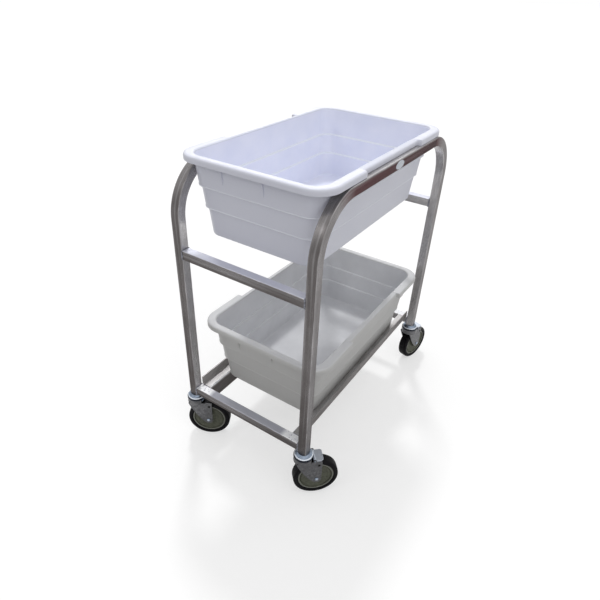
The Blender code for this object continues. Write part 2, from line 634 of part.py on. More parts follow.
def brake_set(corner, swivel):
    """A pedal on a pin between the fork's ears. Pressed down, the shoe under its plate bears on the tyre."""
    pivot = make_empty(f"pedal_axis_{corner}", swivel, (PEDAL_PIN_BACK, 0, PEDAL_PIN_Z))
    along = (QUARTER_TURN, 0, 0)
    half = FORK_INSIDE - SEAT_GAP
    rings = [circle((0, 0), BARREL_RADIUS, PEDAL_STEPS), circle((0, 0), PIN_BORE, PEDAL_STEPS)]
    pieces = [(flat_piece("barrel", rings, 2 * half), (0, 0, 0), along)]
    top, bottom = PEDAL_PLATE / 2, -PEDAL_PLATE / 2
    start = (PIN_BORE + BARREL_RADIUS) / 2
    plate = [(start, bottom), (PEDAL_LENGTH, bottom), (PEDAL_LENGTH, top), (start, top)]
    pieces.append((flat_piece("plate", [plate], 2 * half), (0, 0, 0), along))
    sole = bottom - PEDAL_SHOE
    shoe = [(PEDAL_SHOE_START, 0), (PEDAL_SHOE_START, sole), (PEDAL_LENGTH, sole), (PEDAL_LENGTH, 0)]
    pieces.append((flat_piece("shoe", [shoe], 2 * half), (0, 0, 0), along))
    mesh = union(f"brake_pedal_{corner}", pieces)
    mesh.materials.clear()
    place(f"brake_pedal_{corner}", mesh, "zinc_plate", pivot)
    end = FORK_OUTSIDE + SEAT_GAP
    profile = [(0, end), (PEDAL_PIN_RADIUS, end), (PEDAL_PIN_RADIUS, -end), (0, -end)]
    turned(f"brake_pin_{corner}", profile, PEDAL_STEPS, "zinc_plate", pivot, rotation=along)


def caster(corner, side, end, trail_angle, braked):
    """One caster under one leg, with its trail turned as it stands at rest."""
    leg = (side * LEG_X, end * LEG_Y, 0)
    fixed = make_empty(f"leg_axis_{corner}", root, leg)
    swivel = make_empty(f"swivel_axis_{corner}", root, leg, trail_angle)
    axle = make_empty(f"wheel_axis_{corner}", swivel, (TRAIL, 0, AXLE_Z))
    swivel_set(corner, fixed, swivel)
    place(f"fork_{corner}", forks[braked], "zinc_plate", swivel)
    axle_set(corner, axle)
    wheel(corner, axle)
    if braked:
        brake_set(corner, swivel)


def centre_on_origin():
    """Moves the cart so that the middle of its overall box stands over the origin."""
    bpy.context.view_layer.update()
    graph = bpy.context.evaluated_depsgraph_get()
    corners = []
    for obj in cart.objects:
        if obj.type != "EMPTY":
            shape = obj.evaluated_get(graph)
            mesh = shape.to_mesh()
            corners += [shape.matrix_world @ vertex.co for vertex in mesh.vertices]
            shape.to_mesh_clear()
    for axis in (0, 1):
        values = [point[axis] for point in corners]
        root.location[axis] = -(min(values) + max(values)) / 2


clear_scene()
cart = bpy.data.collections.new("tub_rack_cart")
bpy.context.scene.collection.children.link(cart)
finishes = {name: make_finish(name) for name in FINISHES}
root = make_empty("cart_origin")

side_loop("left_side_loop", -LEG_X)
side_loop("right_side_loop", LEG_X)
for end_name, end in (("near", -1), ("far", 1)):
    cross_rail(f"{end_name}_mid_rail", end * LEG_Y, LOOP_TOP - MID_RAIL_DROP)
    cross_rail(f"{end_name}_low_rail", end * LEG_Y, LOW_RAIL_TOP)
runner("left_runner", -1)
runner("right_runner", 1)
make_tub("upper_tub", UPPER_TUB_SHIFT, UPPER_TUB_BOTTOM, "white_polyethylene")
make_tub("lower_tub", LOWER_TUB_SHIFT, LOWER_TUB_BOTTOM, "grey_polyethylene")

oval = [(LABEL_LENGTH / 2 * math.cos(a), LABEL_HEIGHT / 2 * math.sin(a))
        for a in (2 * math.pi * step / LABEL_STEPS for step in range(LABEL_STEPS))]
place("blank_label", flat_piece("blank_label", [oval], LABEL_THICKNESS), "blank_label", root,
      (FRAME_WIDTH / 2 + SEAT_GAP + LABEL_THICKNESS / 2, LABEL_SHIFT, LOOP_TOP - TUBE_SIDE / 2),
      (QUARTER_TURN, 0, QUARTER_TURN))

forks = {braked: fork_mesh("braked_fork" if braked else "plain_fork", braked) for braked in (False, True)}
for corner_name, (side, end, trail_angle, braked) in CASTERS.items():
    caster(corner_name, side, end, trail_angle, braked)
centre_on_origin()
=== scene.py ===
import json
import math

import bmesh
import bpy
from mathutils import Matrix, Vector


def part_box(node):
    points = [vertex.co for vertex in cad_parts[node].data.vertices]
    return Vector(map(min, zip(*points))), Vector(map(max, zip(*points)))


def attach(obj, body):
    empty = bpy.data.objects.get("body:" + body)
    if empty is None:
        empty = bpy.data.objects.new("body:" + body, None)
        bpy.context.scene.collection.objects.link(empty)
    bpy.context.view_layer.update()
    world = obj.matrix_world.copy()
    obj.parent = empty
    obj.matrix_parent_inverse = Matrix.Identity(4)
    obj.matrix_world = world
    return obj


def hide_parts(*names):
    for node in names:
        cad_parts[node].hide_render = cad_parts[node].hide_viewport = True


# %% [markdown]
# # Tub rack cart
# A food-service cart: two bent loops of square aluminium tube with cross rails and runners welded between
# them, four swivel casters and two moulded tubs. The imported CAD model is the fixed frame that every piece
# below is measured from. A finished piece sits at the origin with its place in its mesh, as the CAD nodes do.

# %% Load the frame and keep the CAD box
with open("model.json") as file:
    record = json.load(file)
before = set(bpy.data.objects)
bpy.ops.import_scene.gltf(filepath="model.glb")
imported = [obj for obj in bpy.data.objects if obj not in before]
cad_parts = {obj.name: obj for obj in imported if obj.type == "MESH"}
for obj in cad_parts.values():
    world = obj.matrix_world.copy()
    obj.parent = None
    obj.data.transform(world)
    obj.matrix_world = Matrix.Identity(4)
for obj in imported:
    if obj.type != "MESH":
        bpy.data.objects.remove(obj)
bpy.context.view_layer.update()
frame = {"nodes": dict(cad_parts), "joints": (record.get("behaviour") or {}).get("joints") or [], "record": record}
MM = 0.001
nodes = frame["nodes"]


# %% [markdown]
# ## Camera
# The photograph looks down on the near right corner from about chest height. The camera's place, heading,
# pitch and roll were fitted to the tube's edges, so they are written here as numbers. The focal length is in
# pixels of a picture 600 px wide and becomes millimetres on Blender's 36 mm sensor.

# %% Place the camera
CAMERA_PLACE = Vector((0.6379, -1.1482, 1.2169))
CAMERA_HEADING = math.radians(32.18)
CAMERA_PITCH = math.radians(33.37)
CAMERA_ROLL = math.radians(2.53)
FOCAL_PIXELS = 497.96
PICTURE_PIXELS = 600
SENSOR = 36.0
SEES_TO = 200.0

ahead = Vector((-math.sin(CAMERA_HEADING) * math.cos(CAMERA_PITCH),
                math.cos(CAMERA_HEADING) * math.cos(CAMERA_PITCH), -math.sin(CAMERA_PITCH)))
level = Vector((math.cos(CAMERA_HEADING), math.sin(CAMERA_HEADING), 0))
upward = level.cross(ahead)
right = math.cos(CAMERA_ROLL) * level + math.sin(CAMERA_ROLL) * upward
top = math.cos(CAMERA_ROLL) * upward - math.sin(CAMERA_ROLL) * level
camera_data = bpy.data.cameras.new("camera")
camera_data.sensor_width = SENSOR
camera_data.lens = SENSOR * FOCAL_PIXELS / PICTURE_PIXELS
camera_data.clip_end = SEES_TO
camera = bpy.data.objects.new("camera", camera_data)
camera.matrix_world = Matrix.Translation(CAMERA_PLACE) @ Matrix((right, top, -ahead)).transposed().to_4x4()
bpy.context.scene.collection.objects.link(camera)
bpy.context.scene.camera = camera
bpy.context.scene.view_settings.view_transform = "Standard"
print("lens:", round(camera_data.lens, 2), "mm")


# %% [markdown]
# ## Light
# In the photograph the lower tub's floor is in shadow right of its middle and near its far wall. Cast back
# past the upper tub's edge, that puts a lamp above the cart, a little to the left and behind. One soft sun
# stands for it, a weak wide one fills from the right, and a low one behind glances off level metal. A small
# one from the front left draws the bright streak down the tube's near bends. A room's light falls mostly from
# its ceiling, so the world is brighter overhead than at its horizon, and a level white surface renders white.
# Where the camera sees the world itself, it is plain white.


# %% A helper for nodes, and colours as they are seen
def seen(code):
    """A colour written as sRGB hex, as the linear colour that Blender works in."""
    parts = [int(code[i:i + 2], 16) / 255 for i in (1, 3, 5)]
    return (*(c / 12.92 if c <= 0.04045 else ((c + 0.055) / 1.055) ** 2.4 for c in parts), 1.0)


def feed(node, inputs):
    """Feeds each of a node's inputs with a socket, a hex colour or a plain value.

    Another node stands for the first of its outputs that is in use.
    """
    for name, value in inputs.items():
        if isinstance(value, bpy.types.Node):
            value = next(output for output in value.outputs if output.enabled)
        if isinstance(value, bpy.types.NodeSocket):
            node.id_data.links.new(value, node.inputs[name])
        else:
            is_colour = isinstance(value, str) and value.startswith("#")
            node.inputs[name].default_value = seen(value) if is_colour else value


def add_node(tree, kind, inputs=None, **settings):
    """Adds one node, sets its properties and feeds its inputs."""
    node = tree.nodes.new(kind)
    for name, value in settings.items():
        setattr(node, name, value)
    feed(node, inputs or {})
    return node


print("white as Blender sees it:", seen("#ffffff"))


# %% Lamps
# Each lamp's direction, its strength and how wide it looks, in degrees
LAMPS = {"key_lamp": ((-0.29, 0.38, 0.87), 0.95, 7),
         "fill_lamp": ((0.80, -0.35, 0.45), 0.5, 70),
         "glance_lamp": ((-0.445, 0.707, 0.36), 0.3, 30),
         "streak_lamp": ((-0.457, -0.70, 0.55), 0.14, 14)}

for name, (comes_from, strength, width) in LAMPS.items():
    lamp = bpy.data.lights.new(name, "SUN")
    lamp.energy = strength
    lamp.angle = math.radians(width)
    obj = bpy.data.objects.new(name, lamp)
    obj.rotation_euler = Vector(comes_from).normalized().to_track_quat("Z", "Y").to_euler()
    bpy.context.scene.collection.objects.link(obj)
print("lamps:", len(LAMPS))


# %% World
CEILING_LIGHT = 0.80
HORIZON_LIGHT = 0.24
HORIZON_GLOSS = 0.58
GLOSS_WHITE_FROM = 0.35

world = bpy.data.worlds.new("studio")
world.use_nodes = True
bpy.context.scene.world = world
tree = world.node_tree
tree.nodes.clear()
path = add_node(tree, "ShaderNodeLightPath").outputs
way = add_node(tree, "ShaderNodeTexCoord")
height = add_node(tree, "ShaderNodeSeparateXYZ", {0: way.outputs["Generated"]}).outputs["Z"]
matt = add_node(tree, "ShaderNodeMapRange", {"Value": height, "To Min": HORIZON_LIGHT,
                                             "To Max": CEILING_LIGHT})
gloss = add_node(tree, "ShaderNodeMapRange", {"Value": height, "From Max": GLOSS_WHITE_FROM,
                                              "To Min": HORIZON_GLOSS, "To Max": 1.0},
                 interpolation_type="SMOOTHSTEP")
light = add_node(tree, "ShaderNodeMix", {"Factor": path["Is Glossy Ray"], "A": matt,
                                         "B": gloss}, data_type="FLOAT")
plain = add_node(tree, "ShaderNodeMath", {0: path["Is Camera Ray"], 1: path["Is Transmission Ray"]},
                 operation="MAXIMUM")
strength = add_node(tree, "ShaderNodeMix", {"Factor": plain, "A": light, "B": 1.0}, data_type="FLOAT")
sky = add_node(tree, "ShaderNodeBackground", {"Color": "#ffffff", "Strength": strength})
add_node(tree, "ShaderNodeOutputWorld", {"Surface": sky})
print("world: ceiling", CEILING_LIGHT, "horizon", HORIZON_LIGHT)


# %% [markdown]
# ## Floor
# The floor runs past the horizon of the picture and is white to the eye and in reflections. A white floor
# would throw much light up at the tubs, more than the real floor does there, so diffuse rays find it greyer.
# To the camera alone half of its white is its own, which thins the cart's shadow and lights nothing.


# %% Lay the floor
FLOOR_SIZE = 80.0
FLOOR_GLOW = 0.54


def new_material(name, colour, roughness, metallic=0.0):
    """A material whose plain values sit on the shader's own sockets."""
    material = bpy.data.materials.new(name)
    material.use_nodes = True
    shader = material.node_tree.nodes["Principled BSDF"]
    feed(shader, {"Base Color": colour, "Roughness": roughness, "Metallic": metallic})
    return material, material.node_tree, shader


half = FLOOR_SIZE / 2
floor_mesh = bpy.data.meshes.new("floor")
floor_mesh.from_pydata([(-half, -half, 0), (half, -half, 0), (half, half, 0), (-half, half, 0)], [],
                       [(0, 1, 2, 3)])
floor = bpy.data.objects.new("floor", floor_mesh)
bpy.context.scene.collection.objects.link(floor)
floor_paint, tree, shader = new_material("pale_floor", "#ffffff", 0.9)
path = add_node(tree, "ShaderNodeLightPath").outputs
tone = add_node(tree, "ShaderNodeMix", {"Factor": path["Is Diffuse Ray"], "A": "#ffffff", "B": "#b4b3b2"},
                data_type="RGBA")
to_eye = add_node(tree, "ShaderNodeMix", {"Factor": path["Is Camera Ray"], "A": tone,
                                          "B": "#bcbcbc"}, data_type="RGBA")
glow = add_node(tree, "ShaderNodeMath", {0: path["Is Camera Ray"], 1: FLOOR_GLOW}, operation="MULTIPLY")
feed(shader, {"Base Color": to_eye, "Specular IOR Level": 0.0, "Emission Color": "#ffffff",
              "Emission Strength": glow})
floor_mesh.materials.append(floor_paint)
print("floor:", FLOOR_SIZE, "m")


# %% [markdown]
# ## Finishes
# Each finish starts from its real material and from how its surface was made, and is built up in coats: a
# colour, and others laid over it, each through its own mask from 0 to 1. The frame is drawn aluminium tube,
# rubbed down along its length, so its streaks follow the tube: the swept pieces carry their own grain, across
# and along, in an attribute. The tubs are moulded polyethylene with a fine pebble from the mould. The casters
# are zinc-plated steel, which is cloudy and faintly blue, with black rubber tyres on olive nylon cores.
#
# Marks of use lie in places that can be measured, so they are masks of the place, and so is the light and shade
# that is painted on. Shade is painted on the loops' outermost faces, most of all at the ends, and a dark reddish
# shade on the outer sides of the top rails. Light is painted on the cross rails' level faces, which are also
# ground bright beside their welds.


# %% Where shade and light are painted on the frame, and where it is ground
loop_low, loop_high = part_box("right_side_loop")
FRAME_MIDDLE = (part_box("near_low_rail")[0].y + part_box("far_low_rail")[1].y) / 2
OUTER_X, OUTER_Y, LOOP_TOP = loop_high.x, (loop_high.y - loop_low.y) / 2, loop_high.z
RAIL_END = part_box("near_mid_rail")[1].x
TUBE_SIDE = 25.4 * MM
BEND_RADIUS = 127.0 * MM
BEND_OUTSIDE = BEND_RADIUS + TUBE_SIDE / 2
CORNER, FACE = 3 * MM, 0.5 * MM
LEVEL_WITHIN = 0.8 * MM
# How much of the painted shade on the loops' ends shows on the legs, and how much on the side faces
LEG_SHADE_SHARE, SIDE_SHADE_SHARE = 0.15, 0.62
# How far the top rail's painted reddish shade runs into a bend, and where below the rail's top it starts, is full
# and ends
REDDISH_SHADE_FADES = 70 * MM
REDDISH_SHADE_FROM, REDDISH_SHADE_FULL = 60 * MM, 30 * MM
EDGE_FROM, EDGE_FREE = 5 * MM, 1.5 * MM
# How far from a cross rail's end its weld was ground, and how much less that shows on the middle rails
GROUND_FROM, GROUND_FULL = 60 * MM, 46 * MM
MID_GROUND_LESS = 0.8


def frame_masks(tree, place, outer_x):
    """The frame's masks: outer_face_shade, reddish_shade (painted shade), tops, mid_tops (painted light), ground.
    """
    centred = add_node(tree, "ShaderNodeVectorMath", {0: place, 1: (0, FRAME_MIDDLE, 0)},
                       operation="SUBTRACT")
    out = add_node(tree, "ShaderNodeVectorMath", {0: centred}, operation="ABSOLUTE")
    # How far a point is past the middle of the bend, along the cart and up, as the straight parts are too
    bend = (0, OUTER_Y - BEND_OUTSIDE, LOOP_TOP - BEND_OUTSIDE)
    beyond = add_node(tree, "ShaderNodeVectorMath", {0: out, 1: bend}, operation="SUBTRACT")
    past = add_node(tree, "ShaderNodeVectorMath", {0: beyond, 1: (0, 0, 0)}, operation="MAXIMUM")
    arc = add_node(tree, "ShaderNodeVectorMath", {0: past, 1: (0, 1, 1)}, operation="MULTIPLY")
    reach = add_node(tree, "ShaderNodeVectorMath", {0: arc}, operation="LENGTH")
    across, along, up = add_node(tree, "ShaderNodeSeparateXYZ", {0: past}).outputs
    height = add_node(tree, "ShaderNodeSeparateXYZ", {0: place}).outputs["Z"]
    masks = {}
    # Each ramp's value, where it starts and ends, and what it gives there. A tube's corner is its last 3 mm
    for name, value, start, end, low, high in (
            ("end_face", reach, BEND_OUTSIDE - CORNER, BEND_OUTSIDE - FACE, 0, 1),
            ("steep", along, 0, BEND_OUTSIDE, LEG_SHADE_SHARE, 1),
            ("side_face", across, outer_x - CORNER, outer_x - FACE, 0, 1),
            ("straight", along, 0, REDDISH_SHADE_FADES, 1, 0),
            ("below_edge", up, BEND_OUTSIDE - EDGE_FROM, BEND_OUTSIDE - EDGE_FREE, 1, 0),
            ("high_up", up, BEND_OUTSIDE - REDDISH_SHADE_FROM, BEND_OUTSIDE - REDDISH_SHADE_FULL, 0, 1),
            ("by_weld", across, RAIL_END - GROUND_FROM, RAIL_END - GROUND_FULL, 0, 1)):
        masks[name] = add_node(tree, "ShaderNodeMapRange", {"Value": value, "From Min": start,
                                                            "From Max": end, "To Min": low, "To Max": high})
    for name, rail in (("mid_tops", "near_mid_rail"), ("low_tops", "near_low_rail")):
        masks[name] = add_node(tree, "ShaderNodeMath", {0: height, 1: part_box(rail)[1].z, 2: LEVEL_WITHIN},
                               operation="COMPARE")
    masks["between"] = add_node(tree, "ShaderNodeMath", {0: across, 1: RAIL_END}, operation="LESS_THAN")
    masks["amount"] = add_node(tree, "ShaderNodeMath", {0: masks["mid_tops"], 1: -MID_GROUND_LESS, 2: 1.0},
                               operation="MULTIPLY_ADD")
    for name, operation, first, second in (
            ("ends", "MULTIPLY", "end_face", "steep"), ("sides", "MULTIPLY", SIDE_SHADE_SHARE, "side_face"),
            ("outer_face_shade", "MAXIMUM", "ends", "sides"), ("reddish_shade", "MULTIPLY", "side_face", "high_up"),
            ("reddish_shade", "MULTIPLY", "reddish_shade", "straight"), ("reddish_shade", "MULTIPLY", "reddish_shade", "below_edge"),
            ("tops", "MAXIMUM", "mid_tops", "low_tops"), ("tops", "MULTIPLY", "tops", "between"),
            ("ground", "MULTIPLY", "tops", "by_weld"), ("ground", "MULTIPLY", "ground", "amount")):
        masks[name] = add_node(tree, "ShaderNodeMath", {0: masks.get(first, first), 1: masks[second]},
                               operation=operation)
    return masks


print("frame's half length:", round(OUTER_Y / MM, 1), "mm, top:", round(LOOP_TOP / MM, 1), "mm")


# %% Drawn aluminium
# Each pattern that follows the grain: how much slower it changes along the tube than across, how many there
# are in a metre, and its detail and roughness. Abrasive of about grit 180 leaves lines 0.1 mm apart and some
# 30 mm long, drawn 0.8 mm apart to show. Handling leaves clouds about 22 mm across, and the draw die leaves
# bands 8 mm wide.
GRAIN_PATTERNS = {"streaks": (0.025, 1 / (0.8 * MM), 3.0, 0.6),
                  "clouds": (0.35, 45.0, 4.0, 0.55),
                  "bands": (0.02, 1 / (8 * MM), 1.0, 0.5)}
# The disc that ground the welds leaves facets about 6 mm across
FACET = 6.25 * MM
# The bare metal, the top rails' painted reddish shade, and the metal ground beside the welds
BARE, REDDISH_SHADE_COLOUR, GROUND = "#e6e5e8", "#63474a", "#fbfcff"
# The painted light on the low rails' level tops and on the middle rails' level tops
LOW_TOP_LIGHT, MID_TOP_LIGHT = "#b4b6c1", "#d6d8e7"
CORNER_WEAR = 1.0 * MM
DARKER_FADE = 3 * MM


def drawn_aluminium(name, outer_x, bright, cloudy, painted_shade_colour, metallic, roughness, worn_corner=None,
                    darker_below=None):
    """Aluminium sanded down along its length: streaks follow the grain attribute, clouds lie over them.

    A tube's corners, past a distance from its middle both ways, are painted bright: it is the wear where hands and
    cloths pass over them and a painted highlight along them. Below a height, if one is given, the metal is darker.
    """
    smooth, rough = roughness
    material, tree, shader = new_material(name, bright, smooth, 1.0)
    grain = add_node(tree, "ShaderNodeAttribute", attribute_name="grain").outputs["Vector"]
    place = add_node(tree, "ShaderNodeTexCoord").outputs["Object"]
    masks = frame_masks(tree, place, outer_x)
    outer_face_shade, tops = masks["outer_face_shade"], masks["tops"]
    for key, (stretch, scale, detail, fineness) in GRAIN_PATTERNS.items():
        drawn = add_node(tree, "ShaderNodeMapping", {"Vector": grain, "Scale": (1, 1, stretch)})
        masks[key] = add_node(tree, "ShaderNodeTexNoise", {"Vector": drawn, "Scale": scale, "Detail": detail,
                                                           "Roughness": fineness})
    facets = add_node(tree, "ShaderNodeTexNoise", {"Vector": place, "Scale": 1 / FACET, "Detail": 2.0,
                                                   "Roughness": 0.6})
    both = add_node(tree, "ShaderNodeMix", {"Factor": 0.5, "A": masks["streaks"], "B": masks["clouds"]},
                    data_type="FLOAT")
    for key, value, start, end, low, high in (
            ("pale_mark", both, 0.38, 0.64, 0, 1), ("uneven", both, 0.36, 0.66, 1, 0.84),
            ("banded", masks["bands"], 0.5, 0.72, 0, 0.14), ("faceted", facets, 0.3, 0.42, 0, 1)):
        masks[key] = add_node(tree, "ShaderNodeMapRange", {"Value": value, "From Min": start, "From Max": end,
                                                           "To Min": low, "To Max": high})
    coats = [(masks["pale_mark"], bright)]
    if worn_corner:
        section = add_node(tree, "ShaderNodeVectorMath", {0: grain}, operation="ABSOLUTE")
        sides = add_node(tree, "ShaderNodeSeparateXYZ", {0: section}).outputs
        inner = add_node(tree, "ShaderNodeMath", {0: sides["X"], 1: sides["Y"]}, operation="MINIMUM")
        corner = add_node(tree, "ShaderNodeMapRange", {"Value": inner, "From Min": worn_corner,
                                                       "From Max": worn_corner + CORNER_WEAR})
        wear_and_highlight = add_node(tree, "ShaderNodeMath", {0: corner, 1: masks["pale_mark"]}, operation="MULTIPLY")
        shown = add_node(tree, "ShaderNodeMath", {0: wear_and_highlight, 1: 0.5}, operation="MULTIPLY")
        coats.append((shown, BARE))
        kept = add_node(tree, "ShaderNodeMath", {0: wear_and_highlight, 1: -0.6, 2: 1.0}, operation="MULTIPLY_ADD")
        outer_face_shade = add_node(tree, "ShaderNodeMath", {0: outer_face_shade, 1: kept}, operation="MULTIPLY")
    if darker_below:
        height = add_node(tree, "ShaderNodeSeparateXYZ", {0: place}).outputs["Z"]
        low_down = add_node(tree, "ShaderNodeMapRange", {"Value": height, "From Min": darker_below,
                                                       "To Max": 0.9, "From Max": darker_below - DARKER_FADE})
        outer_face_shade = add_node(tree, "ShaderNodeMath", {0: outer_face_shade, 1: low_down}, operation="MAXIMUM")
    # The level tops are painted lighter, as painted light
    scuffs = add_node(tree, "ShaderNodeMix", {"Factor": masks["mid_tops"], "A": LOW_TOP_LIGHT, "B": MID_TOP_LIGHT},
                      data_type="RGBA")
    # Painted shade on the outer faces and the top rails' sides, painted light on the level tops
    for mask, share, coat in ((outer_face_shade, masks["uneven"], painted_shade_colour), (masks["reddish_shade"], masks["uneven"], REDDISH_SHADE_COLOUR),
                              (tops, 0.9, scuffs), (masks["banded"], 1.0, BARE),
                              (masks["ground"], masks["faceted"], GROUND)):
        part = add_node(tree, "ShaderNodeMath", {0: mask, 1: share}, operation="MULTIPLY")
        coats.append((part, coat))
    colour = cloudy
    for factor, coat in coats:
        colour = add_node(tree, "ShaderNodeMix", {"Factor": factor, "A": colour, "B": coat}, data_type="RGBA")
    ground = coats[-1][0]
    # Where shade is painted, the gleam that metal has at a low angle is darkened too
    painted_dark = add_node(tree, "ShaderNodeMath", {0: outer_face_shade, 1: masks["reddish_shade"]}, operation="MAXIMUM")
    gleam = add_node(tree, "ShaderNodeMix", {"Factor": painted_dark, "A": "#ffffff", "B": "#6a6060"},
                     data_type="RGBA")
    # The metal scatters a part of the light, and most of it on the level tops, where light is painted
    top_metallic = add_node(tree, "ShaderNodeMapRange", {"Value": tops, "To Min": metallic, "To Max": 0.4})
    metal = add_node(tree, "ShaderNodeMix", {"Factor": ground, "A": top_metallic, "B": 0.15}, data_type="FLOAT")
    streaky = add_node(tree, "ShaderNodeMapRange", {"Value": masks["pale_mark"], "To Min": rough,
                                                    "To Max": smooth})
    dull = add_node(tree, "ShaderNodeMix", {"Factor": tops, "A": streaky, "B": 0.5}, data_type="FLOAT")
    bump = add_node(tree, "ShaderNodeBump", {"Height": masks["streaks"], "Strength": 0.25,
                                             "Distance": 0.05 * MM})
    feed(shader, {"Base Color": colour, "Metallic": metal, "Roughness": dull,
                  "Specular Tint": gleam, "Normal": bump})
    return material


# The third colour of each finish is the painted shade on the outer faces
tube_finish = drawn_aluminium("drawn_aluminium", OUTER_X, "#cbc9ca", "#9b9899", "#5b5756", 0.68, (0.22, 0.36),
                              worn_corner=10.6 * MM)
strip_finish = drawn_aluminium("bent_aluminium_strip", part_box("right_runner")[1].x, "#c4c2c2", "#a09d9c",
                               "#5d5654", 0.6, (0.34, 0.46), darker_below=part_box("lower_tub")[0].z - 5 * MM)
print("tube finish:", len(tube_finish.node_tree.nodes), "nodes")


# %% Ground welds
RIPPLE = 4 * MM


def ground_weld():
    """Weld metal that a flap disc has brightened, with ripples and heat tint that change over about 4 mm."""
    material, tree, shader = new_material("ground_weld", "#85858a", 0.36, 1.0)
    place = add_node(tree, "ShaderNodeTexCoord").outputs["Object"]
    spots = add_node(tree, "ShaderNodeTexNoise", {"Vector": place, "Scale": 1 / RIPPLE, "Detail": 3.0,
                                                  "Roughness": 0.6})
    mask = add_node(tree, "ShaderNodeMapRange", {"Value": spots, "From Min": 0.35, "From Max": 0.65})
    tint = add_node(tree, "ShaderNodeMix", {"Factor": mask, "A": "#636163", "B": "#9496a0"}, data_type="RGBA")
    rough = add_node(tree, "ShaderNodeMapRange", {"Value": mask, "To Min": 0.46, "To Max": 0.3})
    bump = add_node(tree, "ShaderNodeBump", {"Height": spots, "Strength": 0.3, "Distance": 0.2 * MM})
    feed(shader, {"Base Color": tint, "Roughness": rough, "Normal": bump})
    return material


weld_finish = ground_weld()
print("weld finish:", weld_finish.name)


# %% Moulded polyethylene
# The melt's flow leaves clouds about 60 mm across. Scuffs are about 1 mm wide and 40 mm long, along the tub,
# at 420 in a metre. The mould's pebble is about 0.6 mm, drawn 1.2 mm across to show, at 830 in a metre.
FLOW_CLOUD = 62.5 * MM
SCUFFS_PER_METRE = 420.0
PEBBLES_PER_METRE = 830.0


def moulded_polyethylene(name, colour, shade, wear_and_highlight, outside_shade, roughness):
    """Polyethylene: waxy, with a pebble from the mould, faint clouds and scuffs that run with use.

    The outside, marked by the shell's own attribute, is painted greyer than the inside as painted shade, and the
    edges of the ledges, marked by another, are painted pale as a painted highlight.
    """
    material, tree, shader = new_material(name, colour, roughness)
    place = add_node(tree, "ShaderNodeTexCoord").outputs["Object"]
    drawn = add_node(tree, "ShaderNodeMapping", {"Vector": place, "Scale": (1, 0.03, 1)})
    clouds, scuffs, pebble = (
        add_node(tree, "ShaderNodeTexNoise", {"Vector": vector, "Scale": scale, "Detail": detail})
        for vector, scale, detail in ((place, 1 / FLOW_CLOUD, 3.0), (drawn, SCUFFS_PER_METRE, 2.0),
                                      (place, PEBBLES_PER_METRE, 2.0)))
    cloudy = add_node(tree, "ShaderNodeMapRange", {"Value": clouds, "From Min": 0.3, "From Max": 0.7})
    scuffed = add_node(tree, "ShaderNodeMapRange", {"Value": scuffs, "From Min": 0.66, "From Max": 0.78,
                                                    "To Max": 0.35})
    # The outside's painted shade and the ledges' painted highlight, from the shell's attributes
    outside, edges = (add_node(tree, "ShaderNodeAttribute", attribute_name=mark).outputs["Fac"]
                      for mark in ("outside", "pale_mark"))
    base = shade
    for factor, coat in ((cloudy, colour), (scuffed, wear_and_highlight),
                         (outside, outside_shade), (edges, wear_and_highlight)):
        base = add_node(tree, "ShaderNodeMix", {"Factor": factor, "A": base, "B": coat}, data_type="RGBA")
    rough = add_node(tree, "ShaderNodeMapRange", {"Value": cloudy, "To Min": roughness + 0.06,
                                                  "To Max": roughness - 0.04})
    bump = add_node(tree, "ShaderNodeBump", {"Height": pebble, "Strength": 0.35, "Distance": 0.12 * MM})
    feed(shader, {"Base Color": base, "Roughness": rough, "IOR": 1.51,
                  "Specular IOR Level": 0.4, "Normal": bump})
    return material


# The third colour is for scuffs and the ledges' painted highlight, the fourth the outside's painted shade
white_tub = moulded_polyethylene("white_polyethylene", "#f1f3ff", "#eaedfc", "#f4f7ff", "#dcdeea", 0.36)
grey_tub = moulded_polyethylene("grey_polyethylene", "#dddee1", "#d3d4d7", "#ecedf0", "#c4c4c3", 0.42)
print("tub finishes:", white_tub.name, grey_tub.name)


# %% Zinc plate
PLATE_CLOUD = 8 * MM
CUP_SHADE_FADE = 4 * MM


def zinc_plate(name, dark, light, shaded_above=None):
    """Bright zinc over pressed steel, with clouds about 8 mm across.

    It is pale where its own attribute marks a painted highlight. Above a height, if one is given, shade is painted
    on it.
    """
    material, tree, shader = new_material(name, dark, 0.32, 1.0)
    place = add_node(tree, "ShaderNodeTexCoord").outputs["Object"]
    clouds = add_node(tree, "ShaderNodeTexNoise", {"Vector": place, "Scale": 1 / PLATE_CLOUD, "Detail": 5.0,
                                                   "Roughness": 0.65, "Distortion": 0.4})
    mask = add_node(tree, "ShaderNodeMapRange", {"Value": clouds, "From Min": 0.34, "From Max": 0.66})
    # Where the attribute marks it, a painted highlight
    rim = add_node(tree, "ShaderNodeAttribute", attribute_name="pale_mark").outputs["Fac"]
    coats = [(mask, light), (rim, "#eef4fd")]
    if shaded_above:
        height = add_node(tree, "ShaderNodeSeparateXYZ", {0: place}).outputs["Z"]
        shade_mask = add_node(tree, "ShaderNodeMapRange", {"Value": height, "From Min": shaded_above,
                                                       "From Max": shaded_above + CUP_SHADE_FADE})
        coats.append((shade_mask, "#34363d"))
    colour = dark
    for factor, coat in coats:
        colour = add_node(tree, "ShaderNodeMix", {"Factor": factor, "A": colour, "B": coat}, data_type="RGBA")
    rough = add_node(tree, "ShaderNodeMapRange", {"Value": mask, "To Min": 0.36, "To Max": 0.26})
    bloom = add_node(tree, "ShaderNodeMapRange", {"Value": rim, "To Min": 1.0, "To Max": 0.35})
    bump = add_node(tree, "ShaderNodeBump", {"Height": clouds, "Strength": 0.1, "Distance": 0.1 * MM})
    feed(shader, {"Base Color": colour, "Roughness": rough, "Metallic": bloom, "Normal": bump})
    return material


